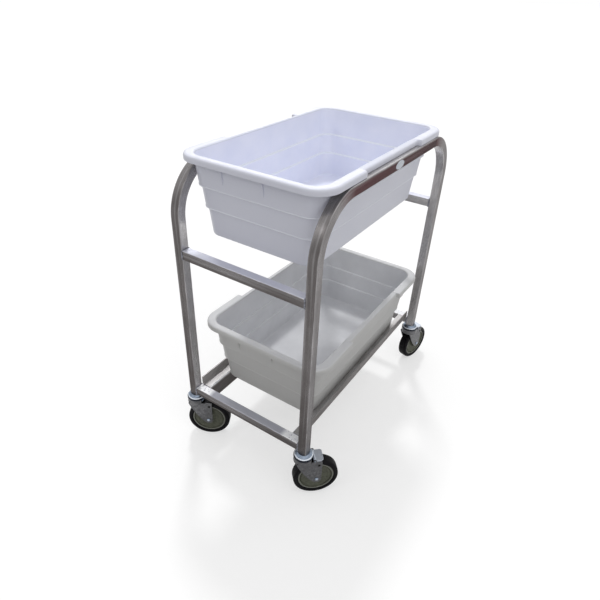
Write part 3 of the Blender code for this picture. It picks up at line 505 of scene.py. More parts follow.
# The fork's cup, up under the raceway's rim, has painted shade above this height
CUP_SHADE_FROM = 141 * MM
bright_zinc = zinc_plate("bright_zinc_plate", "#74808f", "#939eae")
fork_zinc = zinc_plate("zinc_plated_fork", "#5a5a5c", "#747476", CUP_SHADE_FROM)
print("zinc finishes:", bright_zinc.name, fork_zinc.name)


# %% Rubber, nylon and the blank label
DUST_PATCH = 10 * MM
PORE = 1 * MM


def moulded_skin(name, colour, dusty, roughness, sheen):
    """A dull moulded skin with patches of dust about 10 mm across in its pores.

    The pores are about 0.5 mm, drawn 1 mm across to show. A wheel core's rim, marked by its own attribute, has a
    painted highlight.
    """
    material, tree, shader = new_material(name, colour, roughness)
    place = add_node(tree, "ShaderNodeTexCoord").outputs["Object"]
    dust = add_node(tree, "ShaderNodeTexNoise", {"Vector": place, "Scale": 1 / DUST_PATCH, "Detail": 5.0,
                                                 "Roughness": 0.6})
    pores = add_node(tree, "ShaderNodeTexNoise", {"Vector": place, "Scale": 1 / PORE, "Detail": 2.0})
    mask = add_node(tree, "ShaderNodeMapRange", {"Value": dust, "From Min": 0.35, "From Max": 0.7})
    rim = add_node(tree, "ShaderNodeAttribute", attribute_name="pale_mark").outputs["Fac"]
    base = colour
    for factor, coat in ((mask, dusty), (rim, "#8b8c86")):
        base = add_node(tree, "ShaderNodeMix", {"Factor": factor, "A": base, "B": coat}, data_type="RGBA")
    rough = add_node(tree, "ShaderNodeMapRange", {"Value": mask, "To Min": roughness - 0.08,
                                                  "To Max": roughness + 0.08})
    bump = add_node(tree, "ShaderNodeBump", {"Height": pores, "Strength": 0.3, "Distance": 0.1 * MM})
    feed(shader, {"Base Color": base, "Roughness": rough, "Specular IOR Level": sheen, "Normal": bump})
    return material


rubber = moulded_skin("black_rubber", "#070608", "#100f13", 0.5, 0.1)
nylon = moulded_skin("olive_nylon", "#515347", "#66685b", 0.5, 0.22)
label_finish = moulded_skin("blank_label_vinyl", "#d3d9e2", "#c6cdd8", 0.35, 0.3)
FINISH_OF_SLOT = {"satin_aluminium": tube_finish, "white_polyethylene": white_tub,
                  "grey_polyethylene": grey_tub, "blank_label": label_finish, "zinc_plate": bright_zinc,
                  "black_rubber": rubber, "olive_nylon": nylon}
for part in frame["record"]["subparts"]:
    node = nodes[part["node"]]
    node.data.materials.clear()
    node.data.materials.append(FINISH_OF_SLOT[part["material_slot"]])
print("finishes made:", len(FINISH_OF_SLOT) + 3)


# %% [markdown]
# ## Making pieces
# A piece starts as a mesh with modifiers. The helpers below evaluate them once and keep the result as a plain
# mesh, with normals weighted by face area, so that a flat side stays flat to the eye between its small round
# edges. Then the piece is named, finished and fixed to the CAD body it moves with.


# %% Finish a piece
def kept_mesh(name, obj):
    """The plain mesh of an object after its modifiers, which are then gone with the object."""
    bpy.context.view_layer.update()
    graph = bpy.context.evaluated_depsgraph_get()
    mesh = bpy.data.meshes.new_from_object(obj.evaluated_get(graph), preserve_all_data_layers=True,
                                           depsgraph=graph)
    mesh.name = name
    bpy.data.objects.remove(obj, do_unlink=True)
    return mesh


def scratch(mesh):
    """A linked object that modifiers can be put on for a while."""
    obj = bpy.data.objects.new("scratch", mesh)
    bpy.context.scene.collection.objects.link(obj)
    return obj


def add_piece(name, mesh, body, slot, stands_for=(), finish=None, smoothing=40):
    """Links a finished mesh as a piece on its body, in place of the CAD nodes it stands for."""
    if not mesh.materials:
        mesh.materials.append(finish or FINISH_OF_SLOT[slot])
    mesh.shade_smooth()
    mesh.set_sharp_from_angle(angle=math.radians(smoothing))
    obj = scratch(mesh)
    obj.modifiers.new("weighted", "WEIGHTED_NORMAL").keep_sharp = True
    piece = bpy.data.objects.new(name, kept_mesh(name, obj))
    bpy.context.scene.collection.objects.link(piece)
    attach(piece, body)
    if stands_for:
        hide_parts(*stands_for)


def bevelled(mesh, width, angle):
    """The mesh with its sharp edges rounded."""
    obj = scratch(mesh)
    bevel = obj.modifiers.new("edges", "BEVEL")
    bevel.width = width
    bevel.segments = 2
    bevel.limit_method = "ANGLE"
    bevel.angle_limit = math.radians(angle)
    bevel.harden_normals = False
    return kept_mesh(mesh.name, obj)


# %% Outlines, and meshes from them
TURN = 2 * math.pi


def arc(radius, start, end, steps, centre=(0, 0)):
    """Points along an arc, from one angle to another."""
    angles = [start + (end - start) * i / steps for i in range(steps + 1)]
    return [(centre[0] + radius * math.cos(a), centre[1] + radius * math.sin(a)) for a in angles]


def circle(radius, count, centre=(0, 0)):
    """Points spaced evenly round a circle."""
    return arc(radius, 0, TURN, count, centre)[:-1]


def eased(points, radius, steps=3, closed=True):
    """A flat outline with its corners rounded, each by the radius or by as much as its sides allow."""
    points = [Vector(p) for p in points]
    count = len(points)
    out = []
    for i, corner in enumerate(points):
        if not closed and i in (0, count - 1):
            out.append(tuple(corner))
            continue
        before, after = points[i - 1] - corner, points[(i + 1) % count] - corner
        room = min(radius, 0.45 * before.length, 0.45 * after.length)
        start, end = corner + before.normalized() * room, corner + after.normalized() * room
        for step in range(steps + 1):
            t = step / steps
            out.append(tuple((1 - t) ** 2 * start + 2 * t * (1 - t) * corner + t ** 2 * end))
    return out


def skin_over(bm, rings):
    """Faces from each ring of points to the next, and one over each end."""
    for lower, upper in zip(rings, rings[1:]):
        for i in range(len(lower)):
            bm.faces.new((lower[i - 1], lower[i], upper[i], upper[i - 1]))
    bm.faces.new(rings[0])
    bm.faces.new(rings[-1])


def made_mesh(name, bm, outwards=True):
    """The mesh that has been built, with its faces turned outwards."""
    if outwards:
        bmesh.ops.recalc_face_normals(bm, faces=bm.faces)
    mesh = bpy.data.meshes.new(name)
    bm.to_mesh(mesh)
    bm.free()
    return mesh


def path_mesh(points):
    """A mesh of edges only, through the points in their order."""
    mesh = bpy.data.meshes.new("path")
    mesh.from_pydata(points, [(i, i + 1) for i in range(len(points) - 1)], [])
    return mesh


print("points round a corner:", len(eased([(0, 0), (1, 0), (1, 1)], 0.1)))


# %% Geometry Nodes trees, and what they make of a mesh
def new_tree(name, takes, gives, sizes):
    """An empty tree with named inputs, and the sockets that bring them in."""
    tree = bpy.data.node_groups.new(name, "GeometryNodeTree")
    for label, kind in {takes: "Geometry", **sizes, "Finish": "Material"}.items():
        tree.interface.new_socket(label, in_out="INPUT", socket_type=f"NodeSocket{kind}")
    tree.interface.new_socket(gives, in_out="OUTPUT", socket_type="NodeSocketGeometry")
    return tree, add_node(tree, "NodeGroupInput").outputs


def end_tree(tree, shape, finish):
    """Makes the tree's instances real, gives them their finish and sends them out."""
    real = add_node(tree, "GeometryNodeRealizeInstances", {"Geometry": shape})
    done = add_node(tree, "GeometryNodeSetMaterial", {"Geometry": real, "Material": finish})
    add_node(tree, "NodeGroupOutput", {0: done})


def through(tree, mesh, values):
    """A scratch object that puts a mesh through a tree, whose inputs are set by their identifiers."""
    obj = scratch(mesh)
    modifier = obj.modifiers.new(tree.name, "NODES")
    modifier.node_group = tree
    for item in tree.interface.items_tree:
        if item.item_type == "SOCKET" and item.in_out == "INPUT" and item.name in values:
            modifier[item.identifier] = values[item.name]
    return obj


print("node trees so far:", len(bpy.data.node_groups))


# %% [markdown]
# ## The tube frame
# Each loop of the real frame is one length of tube, bent twice. Geometry Nodes do the same here: a path with
# sharp corners is filleted to the bend radius, and a rounded square section is carried along it. The section
# and the path each keep their own place as they go, and together they are the grain that the finish follows.


# %% A tree that bends tube
TUBE_CORNER = 2.8 * MM
TUBE_WALL = 2.0 * MM
CORNER_POINTS = 4
BEND_STEPS = 32


def tube_bender():
    """Mesh edges in, a swept square tube out."""
    tree, given = new_tree("tube_bender", "Path", "Tube", {"Side": "Float", "Corner": "Float",
                                                           "Bend radius": "Float", "Bend steps": "Int"})
    line = add_node(tree, "GeometryNodeMeshToCurve", {"Mesh": given["Path"]})
    bent = add_node(tree, "GeometryNodeFilletCurve", {"Curve": line, "Radius": given["Bend radius"],
                                                      "Count": given["Bend steps"]}, mode="POLY")
    upright = add_node(tree, "GeometryNodeSetCurveNormal", {"Curve": bent}, mode="Z_UP")
    run = add_node(tree, "GeometryNodeSplineParameter")
    path = add_node(tree, "GeometryNodeStoreNamedAttribute",
                    {"Geometry": upright, "Value": run.outputs["Length"], "Name": "along"},
                    data_type="FLOAT", domain="POINT")
    square = add_node(tree, "GeometryNodeCurvePrimitiveQuadrilateral",
                      {"Width": given["Side"], "Height": given["Side"]})
    section = add_node(tree, "GeometryNodeFilletCurve", {"Curve": square, "Radius": given["Corner"],
                                                         "Count": CORNER_POINTS}, mode="POLY")
    spot = add_node(tree, "GeometryNodeInputPosition")
    profile = add_node(tree, "GeometryNodeStoreNamedAttribute",
                       {"Geometry": section, "Value": spot, "Name": "across"},
                       data_type="FLOAT_VECTOR", domain="POINT")
    skin = add_node(tree, "GeometryNodeCurveToMesh", {"Curve": path, "Profile Curve": profile})
    along = add_node(tree, "GeometryNodeInputNamedAttribute", {"Name": "along"}, data_type="FLOAT")
    across = add_node(tree, "GeometryNodeInputNamedAttribute", {"Name": "across"}, data_type="FLOAT_VECTOR")
    sides = add_node(tree, "ShaderNodeSeparateXYZ", {0: across}).outputs
    grain = add_node(tree, "ShaderNodeCombineXYZ", {0: sides["X"], 1: sides["Y"], 2: along})
    grained = add_node(tree, "GeometryNodeStoreNamedAttribute",
                       {"Geometry": skin, "Value": grain, "Name": "grain"},
                       data_type="FLOAT_VECTOR", domain="POINT")
    end_tree(tree, grained, given["Finish"])
    return tree


bender = tube_bender()
print("tube bender:", len(bender.nodes), "nodes")


# %% Bend and cut the tubes
def tube(name, points, stands_for):
    """One length of tube along the points, with an open end at each end."""
    obj = through(bender, path_mesh(points), {"Side": TUBE_SIDE, "Corner": TUBE_CORNER, "Finish": tube_finish,
                                              "Bend radius": BEND_RADIUS, "Bend steps": BEND_STEPS})
    wall = obj.modifiers.new("wall", "SOLIDIFY")
    wall.thickness = TUBE_WALL
    wall.offset = -1
    wall.use_even_offset = True
    mesh = kept_mesh(name, obj)
    add_piece(name, mesh, "frame", "satin_aluminium", [stands_for])
    print(name, len(mesh.polygons), "faces")


RAILS = ("near_mid_rail", "far_mid_rail", "near_low_rail", "far_low_rail")

for side in ("left", "right"):
    low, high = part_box(f"{side}_side_loop")
    x, z = (low.x + high.x) / 2, high.z - TUBE_SIDE / 2
    near, far = low.y + TUBE_SIDE / 2, high.y - TUBE_SIDE / 2
    tube(f"{side}_loop_tube", [(x, near, low.z), (x, near, z), (x, far, z), (x, far, low.z)],
         f"{side}_side_loop")
for rail in RAILS:
    low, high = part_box(rail)
    y, z = (low.y + high.y) / 2, (low.z + high.z) / 2
    tube(f"{rail}_tube", [(low.x, y, z), (high.x, y, z)], rail)


# %% [markdown]
# ## Runners
# A runner is a strip of aluminium folded twice, into an upstand, a shelf and a skirt. Its section is drawn
# once as a closed outline and carried along the cart: a middle line whose folds are eased, then half the
# strip's thickness to each side of it. A bevel takes the sharpness off the strip's own edges.


# %% Fold the runners
STRIP = 3.2 * MM
FOLD_RADIUS = 4.0 * MM
SHELF_PLAY = 0.3 * MM
STRIP_EDGE = 0.5 * MM
STRIP_BEVEL_FROM = 50


def runner_section(low, high, side):
    """The folded strip's outline, from the CAD node's box and the tub that stands on its shelf."""
    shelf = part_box("lower_tub")[0].z - SHELF_PLAY
    outer, inner = (high.x, low.x) if side > 0 else (-low.x, -high.x)
    centre = [(outer - STRIP / 2, high.z), (outer - STRIP / 2, shelf - STRIP / 2),
              (inner + STRIP / 2, shelf - STRIP / 2), (inner + STRIP / 2, low.z)]
    centre = [Vector(p) for p in eased(centre, FOLD_RADIUS, 6, closed=False)]
    one_side, other_side = [], []
    for i, point in enumerate(centre):
        way = (centre[min(i + 1, len(centre) - 1)] - centre[max(i - 1, 0)]).normalized()
        across = Vector((-way.y, way.x)) * STRIP / 2
        one_side.append(point + across)
        other_side.append(point - across)
    return [(side * p.x, p.y) for p in one_side + other_side[::-1]]


def drawn_along_y(name, outline, start, end):
    """A solid with that outline in x and z, from start to end along y, and grain along it."""
    bm = bmesh.new()
    skin_over(bm, [[bm.verts.new((x, y, z)) for x, z in outline] for y in (start, end)])
    mesh = made_mesh(name, bm)
    grain = mesh.attributes.new("grain", "FLOAT_VECTOR", "POINT")
    for vertex, value in zip(mesh.vertices, grain.data):
        value.vector = vertex.co.xzy
    return mesh


for side_name, side in (("left", -1), ("right", 1)):
    node = f"{side_name}_runner"
    low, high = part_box(node)
    mesh = drawn_along_y(f"{node}_strip", runner_section(low, high, side), low.y, high.y)
    mesh = bevelled(mesh, STRIP_EDGE, STRIP_BEVEL_FROM)
    add_piece(f"{node}_strip", mesh, "frame", "satin_aluminium", [node], strip_finish)
    print(node, len(mesh.polygons), "faces")


# %% [markdown]
# ## Welds
# A TIG bead is a row of small overlapping puddles. It could be drawn as bump on a plain fillet, but beads are
# seen in silhouette where a rail meets a leg, so the puddles are real: flattened balls, instanced along the
# joint's line at a fixed spacing.


# %% A tree that lays a bead
UNEVEN = (0.9, 1.1)
FLATNESS = 0.62


def bead_layer():
    """Mesh edges in, a row of flattened puddles out."""
    tree, given = new_tree("bead_layer", "Joint", "Bead", {"Radius": "Float", "Spacing": "Float",
                                                           "Seed": "Int"})
    line = add_node(tree, "GeometryNodeMeshToCurve", {"Mesh": given["Joint"]})
    spots = add_node(tree, "GeometryNodeCurveToPoints", {"Curve": line, "Length": given["Spacing"]},
                     mode="LENGTH")
    ball = add_node(tree, "GeometryNodeMeshUVSphere", {"Radius": given["Radius"], "Segments": 8, "Rings": 6})
    # The random node's sockets 2 and 3 are the range of its numbers
    size = add_node(tree, "FunctionNodeRandomValue", {"Seed": given["Seed"], 2: UNEVEN[0], 3: UNEVEN[1]},
                    data_type="FLOAT")
    flat = add_node(tree, "ShaderNodeCombineXYZ", {0: size, 1: size, 2: FLATNESS})
    row = add_node(tree, "GeometryNodeInstanceOnPoints",
                   {"Points": spots, "Instance": ball,
                    "Rotation": spots.outputs["Rotation"], "Scale": flat})
    end_tree(tree, row, given["Finish"])
    return tree


bead = bead_layer()
print("bead layer:", len(bead.nodes), "nodes")


# %% Lay the beads
WELD_RADIUS = 2.4 * MM
WELD_SPACING = 1.9 * MM
WELD_INSET = 5 * MM
SEEDS_PER_RAIL = 10
RUNNER_SEED = 50


def lay_beads(name, joints, seed):
    """A piece of the puddles along several joints, each a list of points."""
    bm = bmesh.new()
    for index, points in enumerate(joints):
        bm.from_mesh(kept_mesh("bead", through(bead, path_mesh(points), {
            "Radius": WELD_RADIUS, "Spacing": WELD_SPACING, "Seed": seed + index, "Finish": weld_finish})))
    mesh = made_mesh("beads", bm, outwards=False)
    add_piece(name, mesh, "frame", "satin_aluminium", finish=weld_finish, smoothing=60)
    print(name, len(mesh.polygons), "faces")


def around_rail(low, high, x):
    """The closed line round a rail's end where it meets a leg, clear of the tube's round corners."""
    inset = TUBE_CORNER
    return [(x, low.y + inset, high.z), (x, high.y - inset, high.z), (x, high.y, high.z - inset),
            (x, high.y, low.z + inset), (x, high.y - inset, low.z), (x, low.y + inset, low.z),
            (x, low.y, low.z + inset), (x, low.y, high.z - inset), (x, low.y + inset, high.z)]


for index, rail in enumerate(RAILS):
    low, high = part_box(rail)
    lay_beads(f"{rail}_welds", [around_rail(low, high, x) for x in (low.x, high.x)],
              SEEDS_PER_RAIL * index)
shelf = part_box("lower_tub")[0].z - STRIP
ends = []
for node in ("left_runner", "right_runner"):
    low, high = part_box(node)
    ends += [[(x, y, shelf) for x in (low.x + WELD_INSET, high.x - WELD_INSET)] for y in (low.y, high.y)]
lay_beads("runner_welds", ends, RUNNER_SEED)


# %% [markdown]
# ## Tubs
# A tub is a drafted shell with two stepped ledges and a rolled rim. It could be a box that is cut and
# bevelled, but its corners change their radius all the way down, so it is lofted: each level is a rounded
# rectangle with the same number of points, and the list of levels runs from the floor's inside up, over the
# rim and down the outside. The rim is set in along the middle of each long side, for a hand, and two small
# ribs stand under it at each end. Each ring also says how much painted shade and how much painted highlight
# it has, for the finish to read.

# %% Sizes of a tub
TUB_WALL = 3.5 * MM
RIM_DROP = 15.6 * MM
RIM_EDGE = 0.8 * MM
INNER_ROLL = 5.0 * MM
OUTER_ROLL = 7.0 * MM
ROLL_STEPS = 5
UNDER_ROLL = 0.4 * MM
UNDER_RIM = 2 * MM
TAPER = 26.0 * MM
END_LIP = 22.0 * MM
SIDE_LIP = 26.7 * MM
RIM_CORNER = 58.0 * MM
WALL_CORNER = 36.0 * MM
FLOOR_CORNER = 33.0 * MM
FLOOR_EASE = 4.5 * MM
CORNER_STEPS = 14

# The ledges: where they are, as shares of the height, how far they stand in, fall and are eased, how far from
# one the wall has rings that bound its painted highlight, and the bead over it on the outside
LEDGE_SHARES = (0.375, 0.645)
LEDGE = 4.0 * MM
LEDGE_FALL = 1.4 * MM
LEDGE_EASE = 0.9 * MM
LEDGE_MARK_ROOM = 3.0 * MM
OUTER_BEAD = 0.8 * MM

# The hand grip, set in and down along each long side
GRIP_LENGTH = 300.0 * MM
GRIP_DEPTH = 11.0 * MM
GRIP_DROP = 2.0 * MM
GRIP_RUN = 5.0 * MM
GRIP_STEPS = 6
GRIP_SHARE_INSIDE = 0.2

RIB_WIDTH = 2.4 * MM
RIB_REACH = 4.5 * MM
RIB_FOOT = 0.8 * MM
RIB_ROOT = -1.0 * MM
RIB_TOP = 24.0 * MM
RIB_BOTTOM = 56.0 * MM
RIB_PLACES = (-76.0 * MM, 36.0 * MM)
print("ledges stand in by", LEDGE / MM, "mm, and the wall's draft by", (TAPER - 2 * LEDGE) / MM, "mm")


# %% The wall's section
def wall_inset(drop, height):
    """How far the wall's inside stands in from its top, at a drop below the rim."""
    draft = TAPER - LEDGE * len(LEDGE_SHARES)
    stepped = sum(min(max((drop - share * height) / LEDGE_FALL, 0), 1) for share in LEDGE_SHARES)
    return draft * drop / height + LEDGE * stepped


def wall_points(height, depth, bead, start):
    """The section from under the rim to the floor, as inset and drop, with softened ledges."""
    # Each point is a drop and how far it stands out from the wall
    section = [(start, 0)]
    for share in LEDGE_SHARES:
        drop = share * height
        if bead:
            section += [(drop - 3 * bead, 0), (drop - 2 * bead, bead), (drop, bead), (drop + LEDGE_FALL, 0)]
        else:
            section += [(drop - LEDGE_MARK_ROOM, 0), (drop, 0), (drop + LEDGE_FALL, 0),
                        (drop + LEDGE_FALL + LEDGE_MARK_ROOM, 0)]
    section.append((depth, 0))
    points = [(wall_inset(drop, height) - proud, drop) for drop, proud in section]
    foot = points[-1]
    steps = eased(points, LEDGE_EASE, 2, closed=False)[:-1]
    under = (foot[0] + FLOOR_EASE * 2, depth)
    return steps + eased([steps[-1], foot, under], FLOOR_EASE, 4, closed=False)[1:]


def tub_levels(half_x, half_y, height):
    """The rings of a tub's closed skin, from the floor's inside over the rim to the floor's underside.

    Each is its half size across and along, its drop, its corner radius and how far it follows the hand grip.
    With them comes the number of the first ring that is outside.
    """
    x, y = half_x - SIDE_LIP, half_y - END_LIP

    def wall(points, grow):
        rings = []
        for inset, drop in points:
            corner = WALL_CORNER - (WALL_CORNER - FLOOR_CORNER) * drop / height
            corner += grow - max(inset - wall_inset(drop, height), 0)
            rings.append((x + grow - inset, y + grow - inset, drop, corner, 0))
        return rings

    def rim(inset, drop):
        return (half_x - inset, half_y - inset, drop, RIM_CORNER - inset, 1)

    inside = wall(wall_points(height, height - TUB_WALL, 0, INNER_ROLL), 0)
    # A quarter turn up from the wall, and one out and down over the rim
    turn = [(1 - math.sin(TURN / 4 * i / ROLL_STEPS), 1 - math.cos(TURN / 4 * i / ROLL_STEPS))
            for i in range(1, ROLL_STEPS + 1)]
    levels = inside[::-1]
    levels += [(x + INNER_ROLL * out, y + INNER_ROLL * out, INNER_ROLL * down, WALL_CORNER + INNER_ROLL * out,
                GRIP_SHARE_INSIDE * out) for down, out in turn]
    levels += [rim(OUTER_ROLL * inset, OUTER_ROLL * down) for down, inset in reversed(turn)]
    first_outside = len(levels)
    levels += [rim(0, OUTER_ROLL), rim(0, RIM_DROP - RIM_EDGE), rim(RIM_EDGE, RIM_DROP),
               rim(TUB_WALL - RIM_EDGE, RIM_DROP), rim(TUB_WALL, RIM_DROP - RIM_EDGE),
               rim(TUB_WALL, OUTER_ROLL), rim(OUTER_ROLL, TUB_WALL + UNDER_ROLL)]
    levels += wall(wall_points(height, height, OUTER_BEAD, TUB_WALL + UNDER_RIM), TUB_WALL)
    return levels, first_outside


print("points down the inside:", len(wall_points(200 * MM, 196.5 * MM, 0, INNER_ROLL)))


# %% A ring, and a rib
def tub_ring(half_x, half_y, drop, corner, grip):
    """The points of one ring, with a few more where the hand grip's shoulders run in."""
    points = []
    for quarter, (sx, sy) in enumerate(((1, 1), (-1, 1), (-1, -1), (1, -1))):
        start = quarter * TURN / 4
        centre = (sx * (half_x - corner), sy * (half_y - corner))
        bend = [(x, y, -drop) for x, y in arc(corner, start, start + TURN / 4, CORNER_STEPS, centre)]
        side = []
        for step in range(GRIP_STEPS + 1):
            t = step / GRIP_STEPS
            ease = grip * t * t * (3 - 2 * t)
            dip = GRIP_DROP * ease if drop < RIM_DROP / 2 else 0
            side.append((sx * (half_x - GRIP_DEPTH * ease), sy * (GRIP_LENGTH / 2 + GRIP_RUN * (0.5 - t)),
                         -drop - dip))
        points += side[::-1] + bend if sx == sy else bend + side
    return points


def add_rib(bm, x, way, wall_at):
    """A thin upright fin on an end wall, deepest at its top. The wall's outside is at wall_at(drop)."""
    corners = []
    for side in (-1, 1):
        for drop, reach in ((RIB_TOP, RIB_REACH), (RIB_BOTTOM, RIB_FOOT)):
            for out in (RIB_ROOT, reach):
                corners.append(bm.verts.new((x + side * RIB_WIDTH / 2, way * (wall_at(drop) + out), -drop)))
    for quad in ((0, 1, 3, 2), (4, 6, 7, 5), (0, 4, 5, 1), (2, 3, 7, 6), (0, 2, 6, 4), (1, 5, 7, 3)):
        bm.faces.new([corners[i] for i in quad])
    return corners


print("points in a ring:", len(tub_ring(0.2, 0.3, 0, RIM_CORNER, 1)))


# %% Loft the tubs
# How much painted shade the rim's top and the rest of its rolls have, and how far down the top reaches
RIM_TOP_SHADE = 0.35
RIM_SIDE_SHADE = 0.95
RIM_TOP_TO = 2.2 * MM
# Inside, a ledge itself has the painted highlight. Outside it faces down, and the bead above it has it instead
LEDGE_HIGHLIGHT_INSIDE = (-1.2 * MM, LEDGE_FALL + LEDGE_EASE + 0.2 * MM)
LEDGE_HIGHLIGHT_OUTSIDE = (-3 * OUTER_BEAD, 0.2 * MM)


def loft_tub(name, slot, highlight_inside, highlight_outside):
    """A tub in its CAD node's box, with marks of each ring's painted shade and each ledge's painted highlight."""
    low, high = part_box(name)
    half_x, half_y, height = (high.x - low.x) / 2, (high.y - low.y) / 2, high.z - low.z
    levels, first_outside = tub_levels(half_x, half_y, height)
    bm = bmesh.new()
    outside_shade = bm.verts.layers.float.new("outside")
    pale_mark = bm.verts.layers.float.new("pale_mark")
    rings = [[bm.verts.new(p) for p in tub_ring(*level)] for level in levels]
    for index, (ring, (_, _, drop, _, grip)) in enumerate(zip(rings, levels)):
        is_outside = index >= first_outside
        shade_amount = 1.0 if is_outside else 0.0
        if grip > 0 and not is_outside:
            shade_amount = RIM_TOP_SHADE if drop < RIM_TOP_TO else RIM_SIDE_SHADE
        start, end = LEDGE_HIGHLIGHT_OUTSIDE if is_outside else LEDGE_HIGHLIGHT_INSIDE
        on_ledge = any(start <= drop - share * height <= end for share in LEDGE_SHARES)
        highlight = (highlight_outside if is_outside else highlight_inside) if on_ledge else 0.0
        for vert in ring:
            vert[outside_shade] = shade_amount
            vert[pale_mark] = highlight
    skin_over(bm, rings)
    for way in (-1, 1):
        for place in RIB_PLACES:
            for vert in add_rib(bm, -way * place, way,
                                lambda drop: half_y - END_LIP + TUB_WALL - wall_inset(drop, height)):
                vert[outside_shade] = 1.0
    bmesh.ops.translate(bm, verts=bm.verts, vec=((low.x + high.x) / 2, (low.y + high.y) / 2, high.z))
    mesh = made_mesh(f"{name}_shell", bm)
    add_piece(f"{name}_shell", mesh, name, slot, [name], smoothing=50)
    print(name, len(rings), "levels,", len(mesh.polygons), "faces")


# How strong each tub's painted highlight is on its ledges, inside and outside
loft_tub("upper_tub", "white_polyethylene", 1.0, 0.7)
loft_tub("lower_tub", "grey_polyethylene", 0.15, 0.05)


# %% [markdown]
# ## Casters
# All four casters are the same design, made once in a frame of their own: x runs back along the trail from
# the swivel's axis, y across the wheel, z up from the floor. Each is then set under its leg and turned to
# where its wheel trails at rest, which is read from the joint of that wheel. Their turned pieces are outlines
# of radius and height in millimetres, spun about an axis.

# %% Sizes of a caster, and where each one stands
TRAIL = 35.0 * MM
AXLE_Z = 62.957 * MM
FORK_PLATE = 3.0 * MM
FORK_INSIDE = 18.5 * MM
FORK_OUTSIDE = FORK_INSIDE + FORK_PLATE
CROWN_TOP = 132.46 * MM
AXLE_HOLE = 5.1 * MM
PLAY = 0.3 * MM
TURN_STEPS = 64
ON_AXIS = 1e-7

joints = {joint["name"]: joint for joint in frame["joints"]}
casters = {}
for corner in ("near_left", "near_right", "far_right", "far_left"):
    leg = Vector(joints[f"{corner}_swivel"]["pos_m"])
    axis = Vector(joints[f"{corner}_wheel_spin"]["axis"])
    angle = math.atan2(-axis.x, axis.y)
    casters[corner] = Matrix.Translation((leg.x, leg.y, 0)) @ Matrix.Rotation(angle, 4, "Z")
    print(corner, "trails at", round(math.degrees(angle), 1), "degrees")


# %% Turned pieces
def sized(points):
    """An outline given in millimetres, in metres."""
    return [(a * MM, b * MM) for a, b in points]


def turned(profile, steps=TURN_STEPS):
    """A solid of revolution about Z from a closed outline of radius and height."""
    bm = bmesh.new()
    rings = []
    for radius, z in profile:
        if radius < ON_AXIS:
            rings.append([bm.verts.new((0, 0, z))] * steps)
        else:
            rings.append([bm.verts.new((x, y, z)) for x, y in circle(radius, steps)])
    for lower, upper in zip(rings, rings[1:] + rings[:1]):
        for i in range(steps):
            corners = [lower[i - 1], lower[i], upper[i], upper[i - 1]]
            corners = [v for k, v in enumerate(corners) if v not in corners[:k]]
            if len(corners) > 2:
                bm.faces.new(corners)
    return made_mesh("turned", bm)


def two_sided(side):
    """A closed outline from one half of it, mirrored about the wheel's middle."""
    return [(r, -z) for r, z in side] + side[::-1]


def across_wheel(mesh, x, z):
    """Lays a piece that was turned about Z along the wheel's width, with its axis at that place."""
    mesh.transform(Matrix.Translation((x, 0, z)) @ Matrix.Rotation(TURN / 4, 4, "X"))
    return mesh


def mark_painted_highlight(mesh, amount):
    """Marks how much painted highlight each place has, by a function of the place."""
    marks = mesh.attributes.new("pale_mark", "FLOAT", "POINT")
    for vertex, mark in zip(mesh.vertices, marks.data):
        mark.value = amount(vertex.co)


print("points round a turned piece:", TURN_STEPS)


# %% Tyre and wheel core
WHEEL_STEPS = 96
WHEEL = AXLE_Z / MM

# A flat tread, round shoulders, a mould line and a small lip where the tyre meets the core
tyre_side = eased(sized([(WHEEL, 0), (WHEEL, 9.5), (62, 13.6), (58, 15.6), (53.5, 15.8), (50.9, 14.6),
                         (50.3, 12.5)]), 2.2 * MM, 4, closed=False)[1:]
tyre_mesh = across_wheel(turned(two_sided(tyre_side), WHEEL_STEPS), TRAIL, AXLE_Z)

# A raised rim with a groove inside it, a dished web with one shallow ring, and a boss
core_side = eased(sized([(50, 12.5), (49, 13.4), (45.6, 13.4), (44.8, 9.2), (42.4, 9.2), (41.6, 11.6),
                         (34, 11), (33, 9.6), (20, 9.2), (17, 12.5), (14, 17.9), (7.8, 17.9)]), 0.9 * MM, 3,
                  closed=False)
core_mesh = turned(two_sided(core_side), WHEEL_STEPS)
# The raised rim's face has a painted highlight
mark_painted_highlight(core_mesh, lambda co: 0.75 if co.xy.length > 45.4 * MM and abs(co.z) > 13 * MM else 0.0)
across_wheel(core_mesh, TRAIL, AXLE_Z)
print("tyre:", len(tyre_mesh.polygons), "faces, core:", len(core_mesh.polygons), "faces")


# %% Raceways and axle bolt
# The upper raceway: a dish that slopes down from the stem, with a rolled rim that stands in the fork's cup
upper_race_mesh = turned(eased(sized([(6.2, 157.66), (17, 157.66), (19.4, 153.6), (23.6, 151.6),
                                      (25.3, 150.6), (25.3, 147.9), (21.5, 147.9), (19.5, 144.2),
                                      (6.2, 143.9)]), 1.3 * MM, 5))
# The rolled rim has a painted highlight
mark_painted_highlight(upper_race_mesh, lambda co: 1.0 if co.xy.length > 23.4 * MM else 0.0)
lower_race_mesh = turned(eased(sized([(6.2, 132.8), (23.5, 132.8), (22.6, 136.6), (19, 138.2), (6.2, 138.2)]),
                               1.2 * MM, 4))

# The axle bolt: a low domed head, then a shank whose end stands past the nut
head = (FORK_OUTSIDE + PLAY) / MM
bolt_mesh = turned(sized([(0, head + 2.8), (2.2, head + 2.6), (4.2, head + 1.9), (5.2, head + 0.9),
                          (5.4, head), (4.8, head), (4.8, -head - 6.9), (4, -head - 7.5), (0, -head - 7.5)]),
                   48)
# The middle of the head has a painted highlight
mark_painted_highlight(bolt_mesh, lambda co: 0.5 if co.xy.length < 3 * MM else 0.0)
across_wheel(bolt_mesh, TRAIL, AXLE_Z)
print("bolt:", len(bolt_mesh.polygons), "faces")


